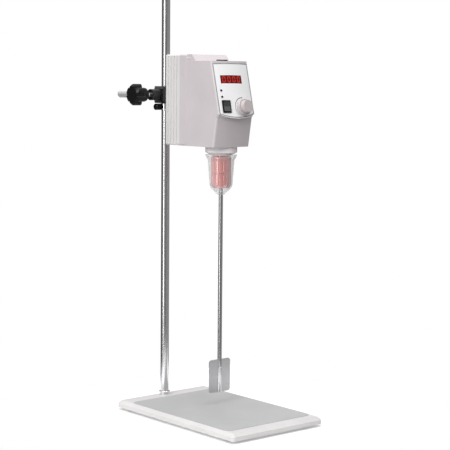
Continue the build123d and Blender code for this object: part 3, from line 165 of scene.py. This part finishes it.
class StirrerSizes(bpy.types.PropertyGroup):
    """Sizes of what is printed or shown on the panel."""

    digit_height: length("Digit height", "Height of one digit", 11.2)
    digit_width: length("Digit width", "Width of one digit", 7.0)
    digit_pitch: length("Digit pitch", "Distance from digit to digit", 11.4)
    digit_bar: length("Bar", "Width of a digit's bar", 1.5)
    scale_radius: length("Scale radius", "Radius of the printed speed scale", 18.2)
    scale_width: length("Scale width", "Widest place of the printed speed scale", 1.6)
    digit_text: StringProperty(name="Reading", description="Digits on the display", default="0000")
    panel_lean: FloatProperty(
        name="Panel lean", description="Lean of the panel from upright",
        default=math.atan2(abs(knob_axis[2]), abs(knob_axis[1])), subtype="ANGLE", unit="ROTATION",
    )
    border_width: length("Border", "Width of the printed border at the panel's sides", 1.9)
    rim_width: length("Rim", "Part of the border that lies on the panel's bevelled rim", 1.2)
    border_inset: length("Border inset", "Bare rim outside the printed border", 0.3)
    panel_arc: length("Panel arc", "How far the panel's lower edge hangs at its middle", 7.5)


class StirrerStudio(bpy.types.PropertyGroup):
    """Camera and light."""

    camera_place: FloatVectorProperty(
        name="Camera place", description="Where the camera stands",
        default=(-1.64569, -2.04656, 0.62147), size=3, subtype="XYZ", unit="LENGTH",
    )
    camera_heading: FloatProperty(
        name="Heading", description="Turn of the camera from straight ahead",
        default=math.radians(40.222), subtype="ANGLE", unit="ROTATION",
    )
    camera_dip: FloatProperty(
        name="Dip", description="How far the camera looks down",
        default=math.radians(5.826), subtype="ANGLE", unit="ROTATION",
    )
    camera_roll: FloatProperty(
        name="Roll", description="Roll of the camera about its view",
        default=math.radians(0.479), subtype="ANGLE", unit="ROTATION",
    )
    focal_length: FloatProperty(
        name="Focal length", description="Focal length in millimetres",
        default=112.308, min=1.0, subtype="DISTANCE_CAMERA",
    )
    floor_colour: colour("Floor", "Colour of the floor", (0.82, 0.82, 0.82))


# ---- Materials ----

def new_material(name):
    """New node material, with its tree and its Principled shader."""
    material = bpy.data.materials.new(name)
    material.use_nodes = True
    tree = material.node_tree
    shader = tree.nodes["Principled BSDF"]
    return material, tree, shader


def coat(name, colour_rgb, roughness, grain=0.0, grain_scale=900.0, metallic=0.0, mottle=0.03,
         gloss_coat=0.0, gloss=0.5):
    """Coat or moulding: a base colour with slight mottle and a fine surface grain."""
    material, tree, shader = new_material(name)
    place = tree.nodes.new("ShaderNodeTexCoord")
    mottling = tree.nodes.new("ShaderNodeTexNoise")
    mottling.inputs["Scale"].default_value = MOTTLE_SCALE
    mottling.inputs["Detail"].default_value = MOTTLE_DETAIL
    ramp = tree.nodes.new("ShaderNodeValToRGB")
    light = [min(1.0, c * (1.0 + mottle)) for c in colour_rgb]
    dark = [c * (1.0 - mottle) for c in colour_rgb]
    ramp.color_ramp.elements[0].color = (*dark, 1.0)
    ramp.color_ramp.elements[0].position = MOTTLE_FROM
    ramp.color_ramp.elements[1].color = (*light, 1.0)
    ramp.color_ramp.elements[1].position = MOTTLE_TO
    tree.links.new(place.outputs["Object"], mottling.inputs["Vector"])
    tree.links.new(mottling.outputs["Fac"], ramp.inputs["Fac"])
    tree.links.new(ramp.outputs["Color"], shader.inputs["Base Color"])
    shader.inputs["Roughness"].default_value = roughness
    shader.inputs["Metallic"].default_value = metallic
    shader.inputs["Specular IOR Level"].default_value = gloss
    shader.inputs["Coat Weight"].default_value = gloss_coat
    shader.inputs["Coat IOR"].default_value = LACQUER_IOR
    shader.inputs["Coat Roughness"].default_value = LACQUER_ROUGHNESS
    if grain:
        pits = tree.nodes.new("ShaderNodeTexNoise")
        pits.inputs["Scale"].default_value = grain_scale
        pits.inputs["Detail"].default_value = GRAIN_DETAIL
        bump = tree.nodes.new("ShaderNodeBump")
        bump.inputs["Strength"].default_value = grain
        bump.inputs["Distance"].default_value = GRAIN_DEPTH
        tree.links.new(place.outputs["Object"], pits.inputs["Vector"])
        tree.links.new(pits.outputs["Fac"], bump.inputs["Height"])
        tree.links.new(bump.outputs["Normal"], shader.inputs["Normal"])
    return material


def metal(name, colour_rgb, roughness, lay=(1.0, 1.0, 1.0), depth=0.15):
    """Metal with a fine lay: scratches drawn out along the axis whose share is small."""
    material, tree, shader = new_material(name)
    place = tree.nodes.new("ShaderNodeTexCoord")
    stretch = tree.nodes.new("ShaderNodeMapping")
    stretch.inputs["Scale"].default_value = lay
    lines = tree.nodes.new("ShaderNodeTexNoise")
    lines.inputs["Scale"].default_value = LAY_SCALE
    lines.inputs["Detail"].default_value = LAY_DETAIL
    spread = tree.nodes.new("ShaderNodeMapRange")
    spread.inputs["To Min"].default_value = roughness * SMOOTH_SHARE
    spread.inputs["To Max"].default_value = roughness * ROUGH_SHARE
    bump = tree.nodes.new("ShaderNodeBump")
    bump.inputs["Strength"].default_value = depth
    bump.inputs["Distance"].default_value = LAY_DEPTH
    tree.links.new(place.outputs["Object"], stretch.inputs["Vector"])
    tree.links.new(stretch.outputs["Vector"], lines.inputs["Vector"])
    tree.links.new(lines.outputs["Fac"], spread.inputs["Value"])
    tree.links.new(spread.outputs["Result"], shader.inputs["Roughness"])
    tree.links.new(lines.outputs["Fac"], bump.inputs["Height"])
    tree.links.new(bump.outputs["Normal"], shader.inputs["Normal"])
    shader.inputs["Base Color"].default_value = (*colour_rgb, 1.0)
    shader.inputs["Metallic"].default_value = 1.0
    return material


def clear_plastic(name, colour_rgb):
    """Clear moulding: almost unseen face on, and brighter towards its edges."""
    material, tree, shader = new_material(name)
    facing = tree.nodes.new("ShaderNodeLayerWeight")
    facing.inputs["Blend"].default_value = CLEAR_BLEND
    spread = tree.nodes.new("ShaderNodeMapRange")
    spread.inputs["To Min"].default_value = CLEAR_FACE
    spread.inputs["To Max"].default_value = CLEAR_EDGE
    tree.links.new(facing.outputs["Facing"], spread.inputs["Value"])
    tree.links.new(spread.outputs["Result"], shader.inputs["Alpha"])
    shader.inputs["Base Color"].default_value = (*colour_rgb, 1.0)
    shader.inputs["Roughness"].default_value = CLEAR_ROUGHNESS
    shader.inputs["IOR"].default_value = CLEAR_IOR
    shader.inputs["Specular IOR Level"].default_value = CLEAR_GLOSS
    return material


def glow(name, colour_rgb, strength):
    """Surface that gives off a little light of its own colour."""
    material, _, shader = new_material(name)
    shader.inputs["Base Color"].default_value = (*colour_rgb, 1.0)
    shader.inputs["Emission Color"].default_value = (*colour_rgb, 1.0)
    shader.inputs["Emission Strength"].default_value = strength
    shader.inputs["Roughness"].default_value = GLOW_ROUGHNESS
    return material


def dress(material, *names):
    """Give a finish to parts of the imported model."""
    for name in names:
        for slot in nodes[name].material_slots:
            slot.material = material


# ---- Pieces that lie on the panel ----

def panel_axes(context):
    """Directions across the panel, up its slope and out of its face."""
    lean = context.scene.stirrer_sizes.panel_lean
    across = Vector((1.0, 0.0, 0.0))
    upwards = Vector((0.0, math.sin(lean), math.cos(lean)))
    return across, upwards, across.cross(upwards)


def middle_of(node):
    """Middle of a part's box."""
    low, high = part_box(node)
    return (low + high) / 2


def lay_on(context, name, mesh, centre, node, material, lift=0.0):
    """Drop a flat mesh along the panel's lean onto a part, thicken it and ride it on the head."""
    mesh.normal_update()
    bmesh.ops.reverse_faces(mesh, faces=[face for face in mesh.faces if face.normal.z < 0.0])
    across, upwards, out = panel_axes(context)
    turn = Matrix((across, upwards, out)).transposed().to_4x4()
    bmesh.ops.transform(mesh, matrix=Matrix.Translation(centre) @ turn, verts=mesh.verts)
    source = nodes[node]
    tree = BVHTree.FromPolygons(
        [vertex.co for vertex in source.data.vertices],
        [tuple(polygon.vertices) for polygon in source.data.polygons],
    )
    for vertex in mesh.verts:
        hit = tree.ray_cast(vertex.co + out * PROBE_HEIGHT, -out)[0]
        if hit is not None:
            vertex.co = hit + out * lift
    data = bpy.data.meshes.new(name)
    mesh.to_mesh(data)
    mesh.free()
    piece = bpy.data.objects.new(name, data)
    context.scene.collection.objects.link(piece)
    data.materials.append(material)
    wall = piece.modifiers.new("wall", "SOLIDIFY")
    wall.thickness = PRINT_THICKNESS
    wall.offset = 1.0
    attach(piece, "head")


# Bars of each digit, lettered clockwise from the top, with g across the middle.
BARS = {
    "0": "abcdef", "1": "bc", "2": "abged", "3": "abgcd", "4": "fgbc",
    "5": "afgcd", "6": "afgedc", "7": "abc", "8": "abcdefg", "9": "abfgcd",
}


def add_bar(mesh, centre, size, upright, bevel):
    """One bar of a digit, with pointed ends, as a flat face."""
    long_half, short_half = size[0] / 2, size[1] / 2
    tip = long_half - bevel
    corners = [
        (-long_half, 0), (-tip, -short_half), (tip, -short_half),
        (long_half, 0), (tip, short_half), (-tip, short_half),
    ]
    if upright:
        corners = [(-y, x) for x, y in corners]
    mesh.faces.new([mesh.verts.new((centre[0] + x, centre[1] + y, 0.0)) for x, y in corners])


class STIRRER_OT_display(bpy.types.Operator):
    """Lit digits behind the red filter"""

    bl_idname = "stirrer.display"
    bl_label = "Display digits"

    def execute(self, context):
        sizes, colours = context.scene.stirrer_sizes, context.scene.stirrer_colours
        mesh = bmesh.new()
        width, height, bar = sizes.digit_width, sizes.digit_height, sizes.digit_bar
        reach = height / 2 - bar / 2
        side = width / 2 - bar / 2
        gap = bar * BAR_GAP_SHARE
        across = (width - bar - gap, bar)
        up = (reach - gap, bar)
        places = {
            "a": (0, reach, across, False),
            "b": (side, reach / 2, up, True),
            "c": (side, -reach / 2, up, True),
            "d": (0, -reach, across, False),
            "e": (-side, -reach / 2, up, True),
            "f": (-side, reach / 2, up, True),
            "g": (0, 0, across, False),
        }
        count = len(sizes.digit_text)
        for index, digit in enumerate(sizes.digit_text):
            start = (index - (count - 1) / 2) * sizes.digit_pitch
            for key in BARS[digit]:
                x, y, size, upright = places[key]
                add_bar(mesh, (start + x, y), size, upright, bar / 2)
        lay_on(context, "display_digits", mesh, middle_of("display_window"), "display_window",
               glow("lit_bars", colours.digits, DIGIT_GLOW), lift=DIGIT_LIFT)
        return {"FINISHED"}


class STIRRER_OT_scale(bpy.types.Operator):
    """Printed scale round the speed knob"""

    bl_idname = "stirrer.scale"
    bl_label = "Speed scale"

    def execute(self, context):
        sizes, colours = context.scene.stirrer_sizes, context.scene.stirrer_colours
        mesh = bmesh.new()
        radius, half = sizes.scale_radius, sizes.scale_width / 2
        start = Vector((math.cos(SCALE_START), math.sin(SCALE_START), 0.0))
        ends = [mesh.verts.new(start * (radius - half)), mesh.verts.new(start * (radius + half))]
        line = mesh.edges.new(ends)
        bmesh.ops.spin(
            mesh, geom=ends + [line], cent=(0.0, 0.0, 0.0), axis=(0.0, 0.0, 1.0),
            dvec=(0.0, 0.0, 0.0), angle=SCALE_SWEEP, steps=SCALE_STEPS,
        )
        # The print grows from a fine end to its full width.
        for vertex in mesh.verts:
            turned = (SCALE_START - math.atan2(vertex.co.y, vertex.co.x)) % math.tau
            grown = min(1.0, turned / -SCALE_SWEEP)
            share = SCALE_FINE_SHARE + (1.0 - SCALE_FINE_SHARE) * grown
            reach = vertex.co.length
            vertex.co *= (radius + (reach - radius) * share) / reach
        centre = Vector(joints["speed_turn"]["pos_m"])
        lay_on(context, "speed_scale", mesh, centre, "front_panel",
               coat("scale_ink", colours.ink, 0.6))
        return {"FINISHED"}


class STIRRER_OT_border(bpy.types.Operator):
    """Printed grey border along the panel's edge"""

    bl_idname = "stirrer.border"
    bl_label = "Panel border"

    def execute(self, context):
        sizes, colours = context.scene.stirrer_sizes, context.scene.stirrer_colours
        low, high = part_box("front_panel")
        half = (high.x - low.x) / 2 - sizes.border_inset
        rise = (high.z - low.z) / math.cos(sizes.panel_lean)
        drop = sizes.panel_arc / math.cos(sizes.panel_lean)
        straight = rise - drop - 2 * sizes.border_inset
        radius = (half**2 + drop**2) / (2 * drop)
        mesh = bmesh.new()
        bmesh.ops.create_grid(mesh, x_segments=BORDER_CUTS, y_segments=BORDER_CUTS, size=1.0)
        bmesh.ops.scale(mesh, vec=(half, straight / 2, 1.0), verts=mesh.verts)
        # The lower edge hangs in an arc, and every row above it follows in its share.
        for vertex in mesh.verts:
            hang = drop - radius + math.sqrt(radius**2 - vertex.co.x**2)
            vertex.co.y += drop / 2 - hang * (0.5 - vertex.co.y / straight)
        inner = list(mesh.faces)
        # Narrow steps follow the rounded rim, and one wide step covers the flat beyond it.
        steps = [sizes.rim_width / RIM_STEPS] * RIM_STEPS
        steps.append(sizes.border_width - sizes.rim_width)
        for thickness in steps:
            bmesh.ops.inset_region(
                mesh, faces=inner, thickness=thickness, use_boundary=True, use_even_offset=True,
            )
        bmesh.ops.delete(mesh, geom=inner, context="FACES")
        lay_on(context, "panel_border", mesh, (low + high) / 2, "front_panel",
               coat("border_ink", colours.border, 0.5))
        return {"FINISHED"}


class STIRRER_OT_stand(bpy.types.Operator):
    """Plate, film, feet and rod"""

    bl_idname = "stirrer.stand"
    bl_label = "Stand"

    def execute(self, context):
        colours = context.scene.stirrer_colours
        dress(coat("plate_coat", colours.plate, 0.5, grain=0.25, grain_scale=1400.0, gloss=0.25),
              "base_plate")
        dress(coat("plate_film", colours.film, 0.6, grain=0.15, grain_scale=2200.0, gloss=0.12),
              "base_film")
        dress(coat("foot_rubber", colours.foot, 0.8, grain=0.3), "rubber_feet")
        dress(metal("rod_steel", colours.steel, 0.16, lay=(1.0, 1.0, 0.003), depth=0.03),
              "stand_rod")
        dress(metal("ring_chrome", colours.chrome, 0.06), "rod_collar", "stop_ring")
        dress(metal("screw_zinc", colours.zinc, 0.3),
              "foot_screws", "rod_washer", "rod_bolt", "housing_screws", "arm_set_screw")
        return {"FINISHED"}


class STIRRER_OT_clamp(bpy.types.Operator):
    """Clamp, its knobs and the arm"""

    bl_idname = "stirrer.clamp"
    bl_label = "Clamp and arm"

    def execute(self, context):
        colours = context.scene.stirrer_colours
        dress(coat("clamp_coat", colours.black, 0.3, grain=0.5, grain_scale=700.0, gloss=0.5),
              "clamp_body")
        dress(coat("knob_black", colours.black, 0.28, grain=0.2, gloss=0.25),
              "rod_clamp_knob", "arm_clamp_knob", "stop_ring_screw")
        dress(metal("clamp_screw_chrome", colours.chrome, 0.1),
              "rod_clamp_screw", "arm_clamp_screw")
        dress(metal("arm_steel", colours.arm, 0.6, lay=(1.0, 0.02, 1.0)), "extension_arm")
        return {"FINISHED"}


class STIRRER_OT_housing(bpy.types.Operator):
    """Head castings and shells"""

    bl_idname = "stirrer.housing"
    bl_label = "Head housing"

    def execute(self, context):
        colours = context.scene.stirrer_colours
        dress(coat("casting_coat", colours.casting, 0.4, grain=0.3, grain_scale=1200.0),
              "rear_casting")
        dress(coat("shell_coat", colours.shell, 0.36, grain=0.2, grain_scale=1500.0),
              "middle_housing", "front_housing")
        # The collar's light coat is painted light that offsets the shade the head casts on it.
        dress(coat("collar_satin_painted_light", colours.collar_painted_lighter, 0.4, grain=0.1, gloss=0.2), "nose_collar")
        dress(coat("plug_plastic", colours.black, 0.4, grain=0.2, gloss=0.3),
              "hole_plug", "power_inlet")
        return {"FINISHED"}


class STIRRER_OT_panel(bpy.types.Operator):
    """Panel face, window, lamps, switch and knob"""

    bl_idname = "stirrer.panel"
    bl_label = "Control panel"

    def execute(self, context):
        colours = context.scene.stirrer_colours
        dress(coat("panel_face", colours.panel, 0.35, grain=0.1, grain_scale=2000.0, mottle=0.01),
              "front_panel")
        dress(coat("window_filter", colours.window, 0.15, mottle=0.05, gloss=0.15),
              "display_window")
        dress(coat("lamp_lens", colours.lamp, 0.3, gloss=0.15), "indicator_leds")
        dress(coat("switch_plastic", colours.black, 0.25, grain=0.1, gloss=0.3), "switch_frame")
        dress(coat("rocker_gloss", colours.black, 0.2, gloss=0.5, gloss_coat=1.0),
              "switch_rocker")
        dress(coat("speed_knob_plastic", colours.knob, 0.35, grain=0.15), "speed_knob")
        return {"FINISHED"}


class STIRRER_OT_chuck(bpy.types.Operator):
    """Chuck, guard, stirring shaft and paddle"""

    bl_idname = "stirrer.chuck"
    bl_label = "Chuck and paddle"

    def execute(self, context):
        colours = context.scene.stirrer_colours
        dress(coat("sleeve_satin", colours.sleeve, 0.35, grain=0.1, metallic=0.08, mottle=0.04,
                   gloss_coat=1.0),
              "rear_sleeve", "front_sleeve")
        dress(metal("chuck_steel", colours.chuck, 0.3),
              "chuck_body", "jaw_nut", "chuck_jaw_1", "chuck_jaw_2", "chuck_jaw_3")
        dress(clear_plastic("guard_clear", colours.guard), "chuck_guard")
        dress(metal("shaft_steel", colours.shaft, 0.11, lay=(1.0, 1.0, 0.003), depth=0.03),
              "stirring_shaft", "blade_rivets")
        dress(metal("blade_steel", colours.blade, 0.3, lay=(0.05, 1.0, 1.0)), "paddle_blade")
        return {"FINISHED"}


class STIRRER_OT_works(bpy.types.Operator):
    """Spindle, bearings, motor and board inside the head"""

    bl_idname = "stirrer.works"
    bl_label = "Inner works"

    def execute(self, context):
        colours = context.scene.stirrer_colours
        dress(metal("machined_aluminium", colours.aluminium, 0.35),
              "bearing_frame", "drive_pulley", "driven_pulley")
        dress(metal("bearing_steel", colours.bearing, 0.15),
              "bearing_outer_rings", "bearing_inner_rings", "spindle", "motor_rotor",
              "speed_shaft")
        dress(metal("motor_zinc", colours.motor, 0.3),
              "motor_case", "board_standoffs", "speed_control")
        dress(coat("winding_lacquer", colours.winding, 0.35), "motor_stator")
        dress(coat("belt_rubber", colours.belt, 0.7, grain=0.3), "drive_belt")
        dress(coat("board_lacquer", colours.board, 0.4), "control_board")
        dress(coat("module_black", colours.module, 0.5), "display_module")
        return {"FINISHED"}


class STIRRER_OT_stage(bpy.types.Operator):
    """Floor, lights and camera"""

    bl_idname = "stirrer.stage"
    bl_label = "Studio"

    def execute(self, context):
        studio = context.scene.stirrer_studio
        mesh = bmesh.new()
        bmesh.ops.create_grid(mesh, x_segments=1, y_segments=1, size=FLOOR_HALF)
        under_plate = Vector((0.0, middle_of("base_plate").y, 0.0))
        bmesh.ops.translate(mesh, vec=under_plate, verts=mesh.verts)
        data = bpy.data.meshes.new("studio_floor")
        mesh.to_mesh(data)
        mesh.free()
        floor = bpy.data.objects.new("studio_floor", data)
        context.scene.collection.objects.link(floor)
        data.materials.append(glow("floor_paper", studio.floor_colour, FLOOR_GLOW))

        self.add_air(context)
        context.scene.view_settings.view_transform = "Standard"
        for name, place, width, height, power in STUDIO_LIGHTS:
            self.add_light(context, name, place, (width, height), power)

        lens = bpy.data.cameras.new("studio_camera")
        lens.lens = studio.focal_length
        lens.sensor_width = SENSOR_WIDTH
        lens.clip_end = VIEW_DEPTH
        camera = bpy.data.objects.new("studio_camera", lens)
        context.scene.collection.objects.link(camera)
        heading, dip, roll = studio.camera_heading, studio.camera_dip, studio.camera_roll
        ahead = Vector((math.sin(heading) * math.cos(dip), math.cos(heading) * math.cos(dip),
                        -math.sin(dip)))
        right = Vector((math.cos(heading), -math.sin(heading), 0.0))
        above = right.cross(ahead)
        rolled_right = right * math.cos(roll) + above * math.sin(roll)
        rolled_above = above * math.cos(roll) - right * math.sin(roll)
        turn = Matrix((rolled_right, rolled_above, -ahead)).transposed().to_4x4()
        camera.matrix_world = Matrix.Translation(studio.camera_place) @ turn
        context.scene.camera = camera
        return {"FINISHED"}

    def add_air(self, context):
        """White air to the eye, with a dark and a bright side for the polished metal."""
        world = bpy.data.worlds.new("studio_air")
        world.use_nodes = True
        tree = world.node_tree
        direction = tree.nodes.new("ShaderNodeTexCoord")
        around = tree.nodes.new("ShaderNodeTexGradient")
        around.gradient_type = "RADIAL"
        bands = tree.nodes.new("ShaderNodeValToRGB")
        bands.color_ramp.interpolation = "EASE"
        stops = bands.color_ramp.elements
        while len(stops) < len(AIR_BANDS):
            stops.new(0.5)
        for stop, (degrees, level) in zip(stops, AIR_BANDS):
            stop.position = (degrees + 180.0) / 360.0
            stop.color = (level, level, level, 1.0)
        height = tree.nodes.new("ShaderNodeSeparateXYZ")
        rise = tree.nodes.new("ShaderNodeMapRange")
        rise.inputs["From Min"].default_value = OVERHEAD_FROM
        rise.inputs["From Max"].default_value = OVERHEAD_TO
        overhead = tree.nodes.new("ShaderNodeMixRGB")
        overhead.inputs["Color2"].default_value = (*[AIR_OVERHEAD] * 3, 1.0)
        room = tree.nodes["Background"]
        room.inputs["Strength"].default_value = AIR_STRENGTH
        paper = tree.nodes.new("ShaderNodeBackground")
        paper.inputs["Color"].default_value = (1.0, 1.0, 1.0, 1.0)
        sight = tree.nodes.new("ShaderNodeLightPath")
        choice = tree.nodes.new("ShaderNodeMixShader")
        tree.links.new(direction.outputs["Generated"], around.inputs["Vector"])
        tree.links.new(around.outputs["Fac"], bands.inputs["Fac"])
        tree.links.new(direction.outputs["Generated"], height.inputs["Vector"])
        tree.links.new(height.outputs["Z"], rise.inputs["Value"])
        tree.links.new(rise.outputs["Result"], overhead.inputs["Fac"])
        tree.links.new(bands.outputs["Color"], overhead.inputs["Color1"])
        tree.links.new(overhead.outputs["Color"], room.inputs["Color"])
        tree.links.new(sight.outputs["Is Camera Ray"], choice.inputs["Fac"])
        tree.links.new(room.outputs["Background"], choice.inputs[1])
        tree.links.new(paper.outputs["Background"], choice.inputs[2])
        tree.links.new(choice.outputs["Shader"], tree.nodes["World Output"].inputs["Surface"])
        context.scene.world = world

    def add_light(self, context, name, place, size, power):
        """Rectangular soft light that faces the middle of the stirrer."""
        lamp = bpy.data.lights.new(name, "AREA")
        lamp.shape = "RECTANGLE"
        lamp.size, lamp.size_y = size
        lamp.energy = power
        light = bpy.data.objects.new(name, lamp)
        context.scene.collection.objects.link(light)
        facing = (Vector(LIGHT_TARGET) - Vector(place)).to_track_quat("-Z", "Y")
        light.matrix_world = Matrix.Translation(place) @ facing.to_matrix().to_4x4()


class STIRRER_PT_panel(bpy.types.Panel):
    """Lists the stirrer's steps in the sidebar"""

    bl_idname = "STIRRER_PT_panel"
    bl_label = "Overhead Stirrer"
    bl_space_type = "VIEW_3D"
    bl_region_type = "UI"
    bl_category = "Stirrer"

    def draw(self, context):
        for step in STEPS:
            self.layout.operator(step.bl_idname)


STEPS = (
    STIRRER_OT_stand,
    STIRRER_OT_clamp,
    STIRRER_OT_housing,
    STIRRER_OT_panel,
    STIRRER_OT_display,
    STIRRER_OT_scale,
    STIRRER_OT_border,
    STIRRER_OT_chuck,
    STIRRER_OT_works,
    STIRRER_OT_stage,
)
GROUPS = (StirrerColours, StirrerSizes, StirrerStudio)


def register():
    for item in GROUPS + STEPS + (STIRRER_PT_panel,):
        bpy.utils.register_class(item)
    bpy.types.Scene.stirrer_colours = PointerProperty(type=StirrerColours)
    bpy.types.Scene.stirrer_sizes = PointerProperty(type=StirrerSizes)
    bpy.types.Scene.stirrer_studio = PointerProperty(type=StirrerStudio)


def unregister():
    del bpy.types.Scene.stirrer_studio
    del bpy.types.Scene.stirrer_sizes
    del bpy.types.Scene.stirrer_colours
    for item in reversed(GROUPS + STEPS + (STIRRER_PT_panel,)):
        bpy.utils.unregister_class(item)


def main():
    register()
    bpy.ops.stirrer.stand()
    bpy.ops.stirrer.clamp()
    bpy.ops.stirrer.housing()
    bpy.ops.stirrer.panel()
    bpy.ops.stirrer.display()
    bpy.ops.stirrer.scale()
    bpy.ops.stirrer.border()
    bpy.ops.stirrer.chuck()
    bpy.ops.stirrer.works()
    bpy.ops.stirrer.stage()


if __name__ == "__main__":
    main()
